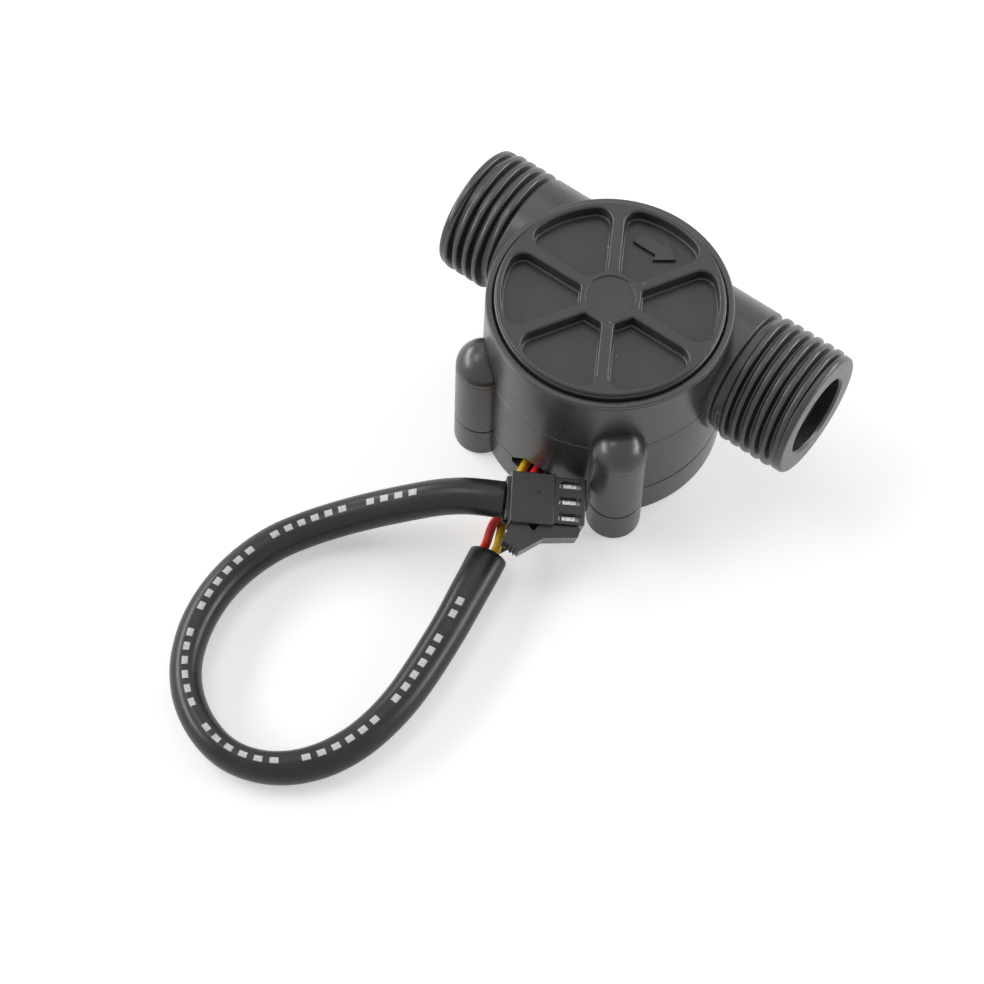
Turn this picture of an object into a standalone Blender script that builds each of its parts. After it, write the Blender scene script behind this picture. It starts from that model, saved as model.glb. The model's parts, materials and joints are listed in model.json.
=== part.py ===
# Turbine water flow sensor: threaded plastic body with a round rotor chamber, a ribbed lid,
# a bottom cover over the sensing circuit, and a short sleeved lead that ends in a latch connector.
# Frame: +X is the flow direction, +Z the rotor axis, origin on that axis at the base plane.
import math

import bmesh
import bpy
from mathutils import Matrix, Vector

mm = 0.001

# Driving dimensions
gap = 0.3 * mm                  # working clearance between pieces that seat on each other
running_gap = 0.08 * mm         # radial clearance of the wheel's bushes on the shaft
drum_radius = 18.6 * mm
drum_draft = 0.2 * mm           # the drum is this much larger in radius at its foot
rim_edge = 0.35 * mm
rim_width = 1.5 * mm            # drum rim left outside the lid
lid_rise = 1.2 * mm             # the lid stands this far above the rim
base_height = 6.8 * mm          # joint between body and bottom cover
chamber_wall = 3.6 * mm
dry_depth = 2.8 * mm            # dry space in the body under the chamber floor
floor_thickness = 2.0 * mm

neck_radius = 10.2 * mm
neck_above_joint = 2.55 * mm    # underside of the pipe above the cover joint
rim_above_neck = 1.65 * mm      # rim above the top of the pipe
pipe_proud = 0.1 * mm           # the pipe stands this far out of the drum's far side
inlet_reach = 30.7 * mm
outlet_reach = 32.8 * mm
bore_radius = 5.6 * mm
mouth_radius = 6.35 * mm
mouth_depth = 2.5 * mm
thread_pitch = 1.814 * mm       # G1/2
thread_crest = 10.3 * mm
thread_root = 9.25 * mm
thread_sink = 0.4 * mm          # the ridge starts this far inside the pipe
thread_taper = 0.1 * mm
neck_chamfer = 0.25 * mm
inlet_turns = 4.6
outlet_turns = 6.6
collar_radius = 10.0 * mm       # plain collar at each pipe end, where the thread starts
collar_length = 1.1 * mm
collar_edge = 0.45 * mm
inlet_relief = 0.45 * mm        # plain root left between thread and neck
outlet_relief = 0.9 * mm

lid_seat_depth = 3.0 * mm
lid_spigot_depth = 0.8 * mm
lid_edge = 0.3 * mm
pocket_depth = 2.0 * mm
pocket_rim = 1.4 * mm           # lid rim left outside the pockets
pocket_inner = 4.6 * mm         # straight inner edge of each pocket, from the axis
pocket_corner = 2.2 * mm
rib_width = 2.0 * mm
rib_count = 6
hub_mark_radius = 3.7 * mm
hub_mark_depth = 0.25 * mm
arrow_length = 7.4 * mm
arrow_height = 0.5 * mm
arrow_inset = 3.9 * mm          # arrow's middle line inside the pocket's outer wall

boss_offset = 0.5 * mm          # screw columns' axes outside the drum's wall
boss_angle = 41.2               # degrees either side of -Y
boss_radius = 4.2 * mm
boss_edge = 0.5 * mm
screw_shank = 1.3 * mm
screw_head = 2.6 * mm
screw_head_depth = 1.6 * mm
screw_recess = 2.2 * mm
screw_length = 14.0 * mm
screw_point = 1.6 * mm
drive_arm = 1.3 * mm
drive_slit = 0.3 * mm
drive_depth = 1.1 * mm

cover_wall = 2.3 * mm
cover_floor = 1.6 * mm
cover_edge = 0.6 * mm
spigot_height = 1.6 * mm
spigot_wall = 1.3 * mm
slot_width = 7.8 * mm           # wire outlet in the joint between body and cover
slot_height = 2.9 * mm
cut_margin = 1.5 * mm           # cutters run this far past what they cut

shaft_radius = 1.2 * mm
shaft_edge = 0.2 * mm
socket_depth = 2.0 * mm
boss_rise = 0.8 * mm            # shaft boss above the chamber floor
lid_boss_rise = 0.6 * mm        # and below the lid
shaft_boss_radius = 3.5 * mm
bush_wall = 0.8 * mm
bush_length = 2.8 * mm
hub_radius = 4.4 * mm
magnet_wall = 3.3 * mm
magnet_height = 2.9 * mm
cup_wall = 1.2 * mm
cup_rise = 0.2 * mm
disc_thickness = 1.4 * mm
blade_count = 8
blade_gap = 0.8 * mm            # blade tips to the chamber wall
blade_thickness = 1.2 * mm
blade_foot = 1.8 * mm           # blade tips start this far above the floor
blade_head = 1.7 * mm           # and end this far below the lid
blade_root = 0.6 * mm           # blades start this far inside the hub and the cup
blade_sweep = 14.0              # degrees from hub to tip

board_aspect = 1.5              # length over width
board_shift = 0.2143            # shift towards -Y, over width
board_clearance = 0.7 * mm      # corners to the spigot's inner wall
board_thickness = 1.6 * mm
board_corner = 1.2 * mm
post_height = 2.1 * mm
post_radius = 1.3 * mm
post_inset = 2.4 * mm
post_root = 0.4 * mm
chip_length = 4.0 * mm
chip_width = 3.2 * mm
chip_height = 1.5 * mm
leg_pitch = 1.27 * mm
leg_width = 0.4 * mm
leg_length = 2.6 * mm
pad_length = 2.0 * mm           # small parts' length on the board
pad_width = 1.25 * mm
pad_cap = 0.4 * mm
pad_step = 0.08 * mm
resistor_height = 0.6 * mm
capacitor_height = 0.9 * mm

wire_radius = 0.7 * mm
wire_pitch = 2.2 * mm
sleeve_radius = 2.8 * mm
sleeve_clear = 0.05 * mm        # the sleeve lies this far above the base plane
solder_inset = 2.0 * mm

pin_pitch = 2.5 * mm
pin_count = 3
plug_length = 11.4 * mm
plug_nose = 4.7 * mm
plug_width = 7.9 * mm
plug_thickness = 5.6 * mm
nose_step = 0.35 * mm
nose_overlap = 1.0 * mm
cavity = 1.9 * mm
window_inset = 0.65 * mm
window_width = 1.2 * mm
contact = 1.25 * mm
contact_inset = 0.5 * mm
barrel_length = 2.2 * mm
barrel_width = 0.9 * mm
tail_gap = 1.7 * mm             # sleeve's end to the back of the plug
plug_heading = 31.0             # degrees from +X, seen from above
plug_tilt = 19.0                # degrees the wide face leans towards -Y
latch_width = 3.6 * mm
latch_sink = 0.2 * mm
groove_radius = 0.17 * mm
groove_count = 5

# Places chosen by hand, in millimetres: x, distance out from the drum's -Y wall, height
plug_place = (6.3, 5.1, 11.1)
# the latch, along the plug and out from its side
latch_shape = [(-5.3, 0.0), (-6.5, 3.0), (-3.9, 4.5), (-0.3, 2.1), (4.9, 1.6), (5.2, 0.0)]
latch_notch = [(-2.9, 0.0), (-1.9, 1.2), (-0.9, 0.0), (-1.9, -0.3)]
# the sleeve's middle line, from the end beside the wires, round the loop, up to the plug,
# with its height above the line on which it lies
sleeve_route = [(2.3, 14.3, 0.0), (3.0, 17.8, 0.0), (3.8, 22.1, 0.0), (4.7, 26.9, 0.0),
                (5.4, 31.7, 0.0), (6.0, 36.8, 0.0), (6.3, 41.8, 0.0), (6.0, 46.8, 0.0),
                (5.0, 51.6, 0.0), (2.9, 56.3, 0.0), (-0.3, 60.2, 0.0), (-4.4, 62.8, 0.0),
                (-9.2, 63.8, 0.0), (-14.2, 62.8, 0.0), (-18.8, 60.3, 0.0), (-22.4, 56.7, 0.0),
                (-24.9, 52.2, 0.0), (-26.4, 47.2, 0.0), (-26.9, 42.0, 0.0), (-26.4, 36.8, 0.0),
                (-25.0, 31.8, 0.0), (-22.7, 27.4, 0.15), (-19.6, 23.4, 1.05), (-15.8, 19.7, 2.65),
                (-11.6, 16.4, 4.75), (-7.6, 13.6, 6.65), (-4.4, 11.55, 7.75), (-1.8, 9.95, 8.2)]
# the wires between the outlet and the sleeve, and where each stands in the sleeve's mouth
red_route = [(0.0, 4.4, 6.3), (-0.4, 7.4, 5.5), (-0.6, 10.4, 4.4)]
yellow_route = [(-2.1, 3.9, 5.3), (-0.9, 6.7, 3.5), (1.3, 10.3, 3.9)]
black_route = [(2.5, 4.4, 5.9), (3.1, 7.4, 4.4), (3.4, 10.7, 3.0)]
red_mouth = (-1.15, 0.35)
yellow_mouth = (0.75, 0.8)
black_mouth = (0.45, -1.0)

# Heights and sizes that follow from these
pipe_height = base_height + neck_above_joint + neck_radius
pipe_offset = drum_radius - neck_radius + pipe_proud
drum_height = pipe_height + neck_radius + rim_above_neck
chamber_radius = drum_radius - chamber_wall
lid_radius = drum_radius - rim_width
floor_under = base_height + dry_depth
chamber_floor = floor_under + floor_thickness
lid_top = drum_height + lid_rise
lid_under = drum_height - lid_seat_depth + gap
seat_radius = lid_radius + gap
spigot_under = lid_under - lid_spigot_depth
lid_boss_under = spigot_under - lid_boss_rise
pocket_floor = lid_top - pocket_depth
pocket_radius = lid_radius - pocket_rim
arrow_place = pocket_radius - arrow_inset
floor_boss_top = chamber_floor + boss_rise
socket_radius = shaft_radius + gap
hub_foot = floor_boss_top + gap
hub_head = lid_boss_under - gap
bush_bore = shaft_radius + running_gap
bush_radius = bush_bore + bush_wall
bush_seat = bush_radius + gap
magnet_inner = hub_radius + gap
magnet_outer = magnet_inner + magnet_wall
cup_inner = magnet_outer + gap
cup_outer = cup_inner + cup_wall
cup_foot = hub_foot + cup_rise
cup_roof = cup_foot + magnet_height + 2 * gap
blade_radius = chamber_radius - blade_gap
cover_top = base_height - gap
cover_radius = drum_radius + drum_draft
spigot_outer = cover_radius - cover_wall
spigot_inner = spigot_outer - spigot_wall
recess_radius = spigot_outer + gap
boss_ring = drum_radius + boss_offset
boss_x = boss_ring * math.sin(math.radians(boss_angle))
boss_y = -boss_ring * math.cos(math.radians(boss_angle))
board_width = (spigot_inner - board_clearance) / math.hypot(board_aspect / 2, 0.5 + board_shift)
board_length = board_width * board_aspect
board_centre_y = -board_width * board_shift
board_foot = cover_floor + post_height + gap
board_top = board_foot + board_thickness
slot_centre = base_height
screw_hole = screw_shank + gap


def beside_drum(place):
    """A hand-chosen place, given from the drum's -Y wall, in the part's frame."""
    x, out, height = place
    return Vector((x * mm, -drum_radius - out * mm, height * mm))


def sleeve_line():
    rest = Vector((0.0, 0.0, sleeve_radius + sleeve_clear))
    return [beside_drum(place) + rest for place in sleeve_route]


plug_centre = beside_drum(plug_place)


def clear_scene():
    for item in list(bpy.data.objects):
        bpy.data.objects.remove(item, do_unlink=True)


def make_material(name, colour, roughness, metallic=0.0):
    material = bpy.data.materials.new(name)
    material.use_nodes = True
    shader = material.node_tree.nodes["Principled BSDF"]
    shader.inputs["Base Color"].default_value = (*colour, 1.0)
    shader.inputs["Roughness"].default_value = roughness
    shader.inputs["Metallic"].default_value = metallic
    return material


def finish_mesh(name, bm, material):
    """Turn a bmesh into a named, smooth shaded object with its faces pointing out."""
    bmesh.ops.recalc_face_normals(bm, faces=bm.faces[:])
    if bm.calc_volume(signed=True) < 0:
        bmesh.ops.reverse_faces(bm, faces=bm.faces[:])
    mesh = bpy.data.meshes.new(name)
    bm.to_mesh(mesh)
    bm.free()
    mesh.shade_smooth()
    mesh.set_sharp_from_angle(angle=math.radians(35))
    thing = bpy.data.objects.new(name, mesh)
    bpy.context.scene.collection.objects.link(thing)
    if material:
        mesh.materials.append(material)
    return thing


def turned(name, profile, material=None, segments=72, centre=(0.0, 0.0), along="Z", phase=0.0):
    """Revolve an outline of (radius, height) points; flat ends on the axis become one face.

    phase turns the facets by that share of one, so that two crossing shapes share no corner."""
    bm = bmesh.new()
    rings = []
    for radius, height in profile:
        if radius < 1e-9:
            rings.append([bm.verts.new((0.0, 0.0, height))] * segments)
            continue
        ring = []
        for step in range(segments):
            turn = 2 * math.pi * (step + phase) / segments
            ring.append(bm.verts.new((radius * math.cos(turn), radius * math.sin(turn), height)))
        rings.append(ring)
    for low, high in zip(rings, rings[1:] + rings[:1]):
        if low[0] is low[1] and high[0] is high[1]:
            continue
        pole, ring = (low, high) if low[0] is low[1] else (high, low)
        if pole[0] is pole[1] and abs(pole[0].co.z - ring[0].co.z) < 1e-9:
            bm.faces.new(ring)
            continue
        for step in range(segments):
            after = (step + 1) % segments
            bm.faces.new(list(dict.fromkeys((low[step], low[after], high[after], high[step]))))
    bmesh.ops.delete(bm, geom=[vert for vert in bm.verts if not vert.link_faces], context="VERTS")
    if along == "X":
        bm.transform(Matrix.Rotation(math.radians(90), 4, "Y"))
        bm.transform(Matrix.Translation((0.0, centre[0], centre[1])))
    else:
        bm.transform(Matrix.Translation((centre[0], centre[1], 0.0)))
    return finish_mesh(name, bm, material)


def prism(name, outline, low, high, material=None):
    """Extrude a flat outline of (x, y) points between two heights."""
    bm = bmesh.new()
    foot = [bm.verts.new((x, y, low)) for x, y in outline]
    face = bm.faces.new(foot)
    made = bmesh.ops.extrude_face_region(bm, geom=[face])
    moved = [item for item in made["geom"] if isinstance(item, bmesh.types.BMVert)]
    bmesh.ops.translate(bm, verts=moved, vec=(0.0, 0.0, high - low))
    return finish_mesh(name, bm, material)


def block(name, low, high, material=None):
    outline = [(low[0], low[1]), (high[0], low[1]), (high[0], high[1]), (low[0], high[1])]
    return prism(name, outline, low[2], high[2], material)


def combine(target, tool, operation):
    tool.hide_render = True
    tool.display_type = "WIRE"
    step = target.modifiers.new(operation.lower(), "BOOLEAN")
    step.operation = operation
    step.object = tool
    step.solver = "EXACT"


def join(target, *tools):
    for tool in tools:
        combine(target, tool, "UNION")


def cut(target, *tools):
    for tool in tools:
        combine(target, tool, "DIFFERENCE")


def arc(centre, radius, start, stop, steps):
    """Points on an arc, angles in degrees."""
    points = []
    for step in range(steps + 1):
        turn = math.radians(start + (stop - start) * step / steps)
        points.append((centre[0] + radius * math.cos(turn), centre[1] + radius * math.sin(turn)))
    return points


def smooth_route(points, spacing):
    """Read evenly spaced points from a Catmull-Rom curve through the given ones."""
    knots = [Vector(point) for point in points]
    knots = [2 * knots[0] - knots[1]] + knots + [2 * knots[-1] - knots[-2]]
    fine = []
    for a, b, c, d in zip(knots, knots[1:], knots[2:], knots[3:]):
        for step in range(24):
            t = step / 24
            fine.append(0.5 * (2 * b + (c - a) * t + (2 * a - 5 * b + 4 * c - d) * t * t
                               + (3 * b - a - 3 * c + d) * t ** 3))
    fine.append(knots[-2])
    total = sum((q - p).length for p, q in zip(fine, fine[1:]))
    count = max(2, round(total / spacing))
    route = [fine[0]]
    walked = 0.0
    for p, q in zip(fine, fine[1:]):
        reach = (q - p).length
        while len(route) < count and walked + reach >= total * len(route) / count:
            route.append(p.lerp(q, (total * len(route) / count - walked) / reach))
        walked += reach
    route.append(fine[-1])
    return route


def cord(name, route, radius, material, resolution=2):
    """A plain round tube with filled ends along a list of points in metres."""
    curve = bpy.data.curves.new(name, "CURVE")
    curve.dimensions = "3D"
    curve.bevel_depth = radius
    curve.bevel_resolution = resolution
    curve.use_fill_caps = True
    line = curve.splines.new("POLY")
    line.points.add(len(route) - 1)
    for point, place in zip(line.points, route):
        point.co = (*place, 1.0)
    thing = bpy.data.objects.new(name, curve)
    bpy.context.scene.collection.objects.link(thing)
    curve.materials.append(material)
    return thing


def thread_ridge(name, start, turns, side):
    """One helical ridge of the G1/2 thread, fading into the root at both ends."""
    per_turn = 28
    sunk = thread_root - thread_sink
    foot = 0.46 * thread_pitch
    flat = 0.13 * thread_pitch
    bm = bmesh.new()
    steps = round(turns * per_turn)
    sections = []
    for step in range(steps + 1):
        turn = side * 2 * math.pi * (step + 0.27) / per_turn
        fade = min(1.0, (step + 0.5) / (0.5 * per_turn), (steps - step + 0.5) / (0.3 * per_turn))
        width = 0.3 + 0.7 * fade
        crest = sunk + thread_taper + (thread_crest - sunk - thread_taper) * fade
        middle = start + side * thread_pitch * step / per_turn
        ring = []
        for shift, radius in ((-foot, sunk), (-flat, crest), (flat, crest), (foot, sunk)):
            ring.append(bm.verts.new((middle + shift * width, pipe_offset + radius * math.cos(turn),
                                      pipe_height + radius * math.sin(turn))))
        sections.append(ring)
    for low, high in zip(sections, sections[1:]):
        for corner in range(4):
            after = (corner + 1) % 4
            bm.faces.new((low[corner], low[after], high[after], high[corner]))
    bm.faces.new(sections[0])
    bm.faces.new(sections[-1])
    return finish_mesh(name, bm, None)


def boss_column(name, side, low, high, domed):
    """A screw column on the drum wall; the body's own ends in a dome."""
    if domed:
        profile = [(0.0, low), (boss_radius, low)]
        dome = arc((0.0, 0.0), boss_radius, 0, 80, 7)
        profile += [(radius, high + height) for radius, height in dome]
        profile += [(0.0, high + boss_radius)]
    else:
        profile = [(0.0, low), (boss_radius - boss_edge, low), (boss_radius, low + boss_edge),
                   (boss_radius, high), (0.0, high)]
    return turned(name, profile, segments=32, centre=(side * boss_x, boss_y))


def slot_cutter(name, low, high):
    half = slot_width / 2
    return block(name, (-half, -cover_radius - cut_margin, low), (half, cut_margin - spigot_inner, high))


def make_body(material):
    foot = drum_radius + drum_draft
    body = turned("body", [(0.0, base_height), (foot, base_height), (drum_radius, drum_height - rim_edge),
                           (drum_radius - rim_edge, drum_height), (0.0, drum_height)], material)
    lead_in = collar_length / 2
    inlet_neck = -inlet_reach + lead_in + thread_pitch * inlet_turns + inlet_relief
    outlet_neck = outlet_reach - lead_in - thread_pitch * outlet_turns - outlet_relief
    slope = collar_radius - thread_root
    pipe = turned("pipe_form", [(0.0, -inlet_reach), (collar_radius - collar_edge, -inlet_reach),
                                (collar_radius, -inlet_reach + collar_edge),
                                (collar_radius, -inlet_reach + collar_length),
                                (thread_root, -inlet_reach + collar_length + slope / 2),
                                (thread_root, inlet_neck), (neck_radius, inlet_neck + neck_chamfer),
                                (neck_radius, outlet_neck - neck_chamfer), (thread_root, outlet_neck),
                                (thread_root, outlet_reach - collar_length - slope / 2),
                                (collar_radius, outlet_reach - collar_length),
                                (collar_radius, outlet_reach - collar_edge),
                                (collar_radius - collar_edge, outlet_reach), (0.0, outlet_reach)],
                  segments=48, centre=(pipe_offset, pipe_height), along="X", phase=0.19)
    join(body, pipe)
    for name, side in (("boss_form_left", -1), ("boss_form_right", 1)):
        join(body, boss_column(name, side, base_height, pipe_height, True))
    join(body, thread_ridge("inlet_thread", -inlet_reach + lead_in, inlet_turns, 1))
    join(body, thread_ridge("outlet_thread", outlet_reach - lead_in, outlet_turns, -1))
    chamber = turned("chamber_cutter", [
        (0.0, floor_boss_top - socket_depth), (socket_radius, floor_boss_top - socket_depth),
        (socket_radius, floor_boss_top), (shaft_boss_radius, floor_boss_top),
        (shaft_boss_radius, chamber_floor), (chamber_radius, chamber_floor),
        (chamber_radius, lid_under - gap), (seat_radius, lid_under - gap),
        (seat_radius, drum_height + gap), (0.0, drum_height + gap)])
    bore = turned("bore_cutter", [
        (0.0, -inlet_reach - gap), (mouth_radius, -inlet_reach - gap),
        (mouth_radius, -inlet_reach + mouth_depth), (bore_radius, -inlet_reach + mouth_depth),
        (bore_radius, outlet_reach - mouth_depth), (mouth_radius, outlet_reach - mouth_depth),
        (mouth_radius, outlet_reach + gap), (0.0, outlet_reach + gap)],
        segments=40, centre=(pipe_offset, pipe_height), along="X", phase=0.37)
    recess = turned("recess_cutter", [(0.0, base_height - gap), (recess_radius, base_height - gap),
                                      (recess_radius, floor_under), (0.0, floor_under)])
    cut(body, chamber, bore, recess)
    for name, side in (("pilot_cutter_left", -1), ("pilot_cutter_right", 1)):
        depth = screw_recess + screw_length + gap
        cut(body, turned(name, [(0.0, base_height - gap), (screw_hole, base_height - gap),
                                (screw_hole, depth), (0.0, depth)],
                         segments=20, centre=(side * boss_x, boss_y)))
    cut(body, slot_cutter("body_slot_cutter", base_height - gap, slot_centre + slot_height / 2))
    return body


def pocket_outline(middle):
    """Sector pocket between two ribs: straight sides and inner edge, rounded outer corners."""
    half_rib = rib_width / 2
    half = math.pi / rib_count
    # in a frame where the pocket's middle line is +X
    side_in = (pocket_inner, pocket_inner * math.tan(half) - half_rib / math.cos(half))
    inset = pocket_corner
    reach = pocket_radius - inset
    # corner circle touches the rib side and the outer arc
    offset = half_rib + inset
    along = math.sqrt(reach ** 2 - offset ** 2)
    turn = half - math.atan2(offset, along)
    corner = (reach * math.cos(turn), reach * math.sin(turn))
    upper = [side_in]
    upper += arc(corner, inset, math.degrees(half) + 90, math.degrees(turn), 5)
    outer = arc((0.0, 0.0), pocket_radius, math.degrees(turn), -math.degrees(turn), 8)[1:-1]
    lower = [(x, -y) for x, y in reversed(upper)]
    spin = Matrix.Rotation(math.radians(middle), 2)
    return [tuple(spin @ Vector(point)) for point in upper + outer + lower]


def arrow_outline():
    tail, head, shaft, barb = -0.5, 0.08, 0.15, 0.3
    shape = [(tail, -shaft), (head, -shaft), (head + 0.03, -barb), (0.5, 0.0),
             (head + 0.03, barb), (head, shaft), (tail, shaft)]
    return [(x * arrow_length, arrow_place + y * arrow_length) for x, y in shape]


def make_lid(material):
    lid = turned("top_lid", [
        (0.0, pocket_floor), (socket_radius, pocket_floor), (socket_radius, lid_boss_under),
        (shaft_boss_radius, lid_boss_under), (shaft_boss_radius, spigot_under),
        (chamber_radius - gap, spigot_under), (chamber_radius - gap, lid_under), (lid_radius, lid_under),
        (lid_radius, lid_top - lid_edge), (lid_radius - lid_edge, lid_top),
        (hub_mark_radius, lid_top), (hub_mark_radius, lid_top - hub_mark_depth),
        (0.0, lid_top - hub_mark_depth)], material)
    for index in range(rib_count):
        middle = 360 / rib_count * (index + 0.5)
        cut(lid, prism("pocket_cutter_%d" % index, pocket_outline(middle), pocket_floor, lid_top + gap))
    join(lid, prism("arrow_form", arrow_outline(), pocket_floor - arrow_height, pocket_floor + arrow_height))
    return lid


def make_cover(material):
    cover = turned("bottom_cover", [
        (0.0, 0.0), (cover_radius - cover_edge, 0.0), (cover_radius, cover_edge), (cover_radius, cover_top),
        (spigot_outer, cover_top), (spigot_outer, cover_top + spigot_height),
        (spigot_inner, cover_top + spigot_height), (spigot_inner, cover_floor), (0.0, cover_floor)], material)
    for name, side in (("cover_boss_left", -1), ("cover_boss_right", 1)):
        join(cover, boss_column(name, side, 0.0, cover_top, False))
    for index, (x, y) in enumerate(post_places()):
        join(cover, turned("post_form_%d" % index, [
            (0.0, cover_floor - post_root), (post_radius, cover_floor - post_root),
            (post_radius, cover_floor + post_height), (0.0, cover_floor + post_height)],
            segments=16, centre=(x, y)))
    for name, side in (("screw_cutter_left", -1), ("screw_cutter_right", 1)):
        cut(cover, turned(name, [(0.0, -gap), (screw_head + gap, -gap), (screw_head + gap, screw_recess),
                                 (screw_hole, screw_recess), (screw_hole, base_height + spigot_height),
                                 (0.0, base_height + spigot_height)],
                          segments=24, centre=(side * boss_x, boss_y)))
    cut(cover, slot_cutter("cover_slot_cutter", slot_centre - slot_height / 2,
                           cover_top + spigot_height + cut_margin))
    return cover


def post_places():
    x = board_length / 2 - post_inset
    y = board_width / 2 - post_inset
    return [(sx * x, board_centre_y + sy * y) for sx in (-1, 1) for sy in (-1, 1)]


def make_screw(name, side, material):
    head_low = screw_recess - gap - screw_head_depth
    head_high = screw_recess - gap
    tip = head_high + screw_length
    screw = turned(name, [(0.0, head_low), (screw_head - boss_edge, head_low),
                          (screw_head, head_low + boss_edge), (screw_head, head_high),
                          (screw_shank, head_high), (screw_shank, tip - screw_point),
                          (drive_slit, tip), (0.0, tip)],
                   material, segments=20, centre=(side * boss_x, boss_y))
    for index, (dx, dy) in enumerate(((drive_arm, drive_slit), (drive_slit, drive_arm))):
        cut(screw, block("%s_drive_%d" % (name, index),
                         (side * boss_x - dx, boss_y - dy, head_low - gap),
                         (side * boss_x + dx, boss_y + dy, head_low - gap + drive_depth)))
    return screw


def blade_form(name, turn):
    """One swept blade of the wheel, its foot raised where the magnet cup passes."""
    tip_low = chamber_floor + blade_foot
    high = spigot_under - blade_head
    over_cup = cup_roof + disc_thickness / 2
    stations = [(hub_radius - blade_root, over_cup), (0.5 * (magnet_inner + magnet_outer), over_cup),
                (cup_inner + cup_wall / 4, over_cup), (cup_outer - cup_wall / 4, tip_low),
                (0.5 * (cup_outer + blade_radius), tip_low), (blade_radius, tip_low)]
    bm = bmesh.new()
    rings = []
    for radius, low in stations:
        share = (radius - hub_radius) / (blade_radius - hub_radius)
        lean = math.radians(turn - blade_sweep * max(share, 0.0) ** 1.5)
        out = Vector((math.cos(lean), math.sin(lean), 0.0))
        across = Vector((-out.y, out.x, 0.0)) * blade_thickness / 2
        rings.append([bm.verts.new(out * radius + across + Vector((0, 0, low))),
                      bm.verts.new(out * radius - across + Vector((0, 0, low))),
                      bm.verts.new(out * radius - across + Vector((0, 0, high))),
                      bm.verts.new(out * radius + across + Vector((0, 0, high)))])
    for a, b in zip(rings, rings[1:]):
        for corner in range(4):
            after = (corner + 1) % 4
            bm.faces.new((a[corner], a[after], b[after], b[corner]))
    bm.faces.new(rings[0])
    bm.faces.new(rings[-1])
    return finish_mesh(name, bm, None)


def make_rotor(material):
    hub_bore = bush_bore + gap
    rotor = turned("rotor", [
        (bush_seat, hub_foot), (hub_radius, hub_foot), (hub_radius, cup_roof), (cup_inner, cup_roof),
        (cup_inner, cup_foot), (cup_outer, cup_foot), (cup_outer, cup_roof + disc_thickness),
        (hub_radius, cup_roof + disc_thickness), (hub_radius, hub_head), (bush_seat, hub_head),
        (bush_seat, hub_head - bush_length - gap), (hub_bore, hub_head - bush_length - gap),
        (hub_bore, hub_foot + bush_length + gap), (bush_seat, hub_foot + bush_length + gap)],
        material, segments=48)
    for index in range(blade_count):
        join(rotor, blade_form("blade_form_%d" % index, 360 / blade_count * index + 10))
    return rotor


def ring_piece(name, inner, outer, low, high, material, segments=40):
    return turned(name, [(inner, low), (outer, low), (outer, high), (inner, high)], material, segments)


def make_board(material):
    half = board_length / 2
    low_y = board_centre_y - board_width / 2
    high_y = board_centre_y + board_width / 2
    corner = board_corner
    outline = arc((half - corner, low_y + corner), corner, -90, 0, 3)
    outline += arc((half - corner, high_y - corner), corner, 0, 90, 3)
    outline += arc((-half + corner, high_y - corner), corner, 90, 180, 3)
    outline += arc((-half + corner, low_y + corner), corner, 180, 270, 3)
    return prism("circuit_board", outline, board_foot, board_top, material)


def make_hall_chip(material):
    """Flat package under the magnet ring, with three legs bent down to the board."""
    x = 0.5 * (magnet_inner + magnet_outer)
    low = board_top + gap
    edge = -chip_width / 4
    chip = block("hall_sensor", (x - chip_length / 2, edge, low),
                 (x + chip_length / 2, edge + chip_width, low + chip_height), material)
    for index in range(3):
        leg = x + (index - 1) * leg_pitch
        join(chip, block("chip_leg_%d" % index,
                         (leg - leg_width / 2, edge - leg_length, low + chip_height / 4),
                         (leg + leg_width / 2, edge + leg_width, low + chip_height / 4 + leg_width)))
    return chip


def chip_part(name, row, height, material):
    """Small surface mount part with its end caps stepped out from the body."""
    x = -board_length / 4
    y = board_centre_y + row * board_width
    length, width, step, cap = pad_length, pad_width, pad_step, pad_cap
    low = board_top + gap
    part = block(name, (x - length / 2 + cap, y - width / 2 + step, low + step),
                 (x + length / 2 - cap, y + width / 2 - step, low + height - step), material)
    for index, side in enumerate((-1, 1)):
        end = x + side * length / 2
        join(part, block("%s_cap_%d" % (name, index), (min(end, end - side * cap * 1.2), y - width / 2, low),
                         (max(end, end - side * cap * 1.2), y + width / 2, low + height)))
    return part


def plug_frame():
    """Axes of the plug: along it, across its pins and out of its wide face."""
    turn = math.radians(plug_heading)
    tilt = math.radians(plug_tilt)
    along = Vector((math.cos(turn), math.sin(turn), 0.0))
    across = Vector((-math.sin(turn) * math.cos(tilt), math.cos(turn) * math.cos(tilt), math.sin(tilt)))
    return along, across, along.cross(across)


def plug_matrix():
    along, across, out = plug_frame()
    frame = Matrix((along, across, out)).transposed().to_4x4()
    return Matrix.Translation(plug_centre) @ frame


def pin_offsets():
    return [(index - (pin_count - 1) / 2) * pin_pitch for index in range(pin_count)]


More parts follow.
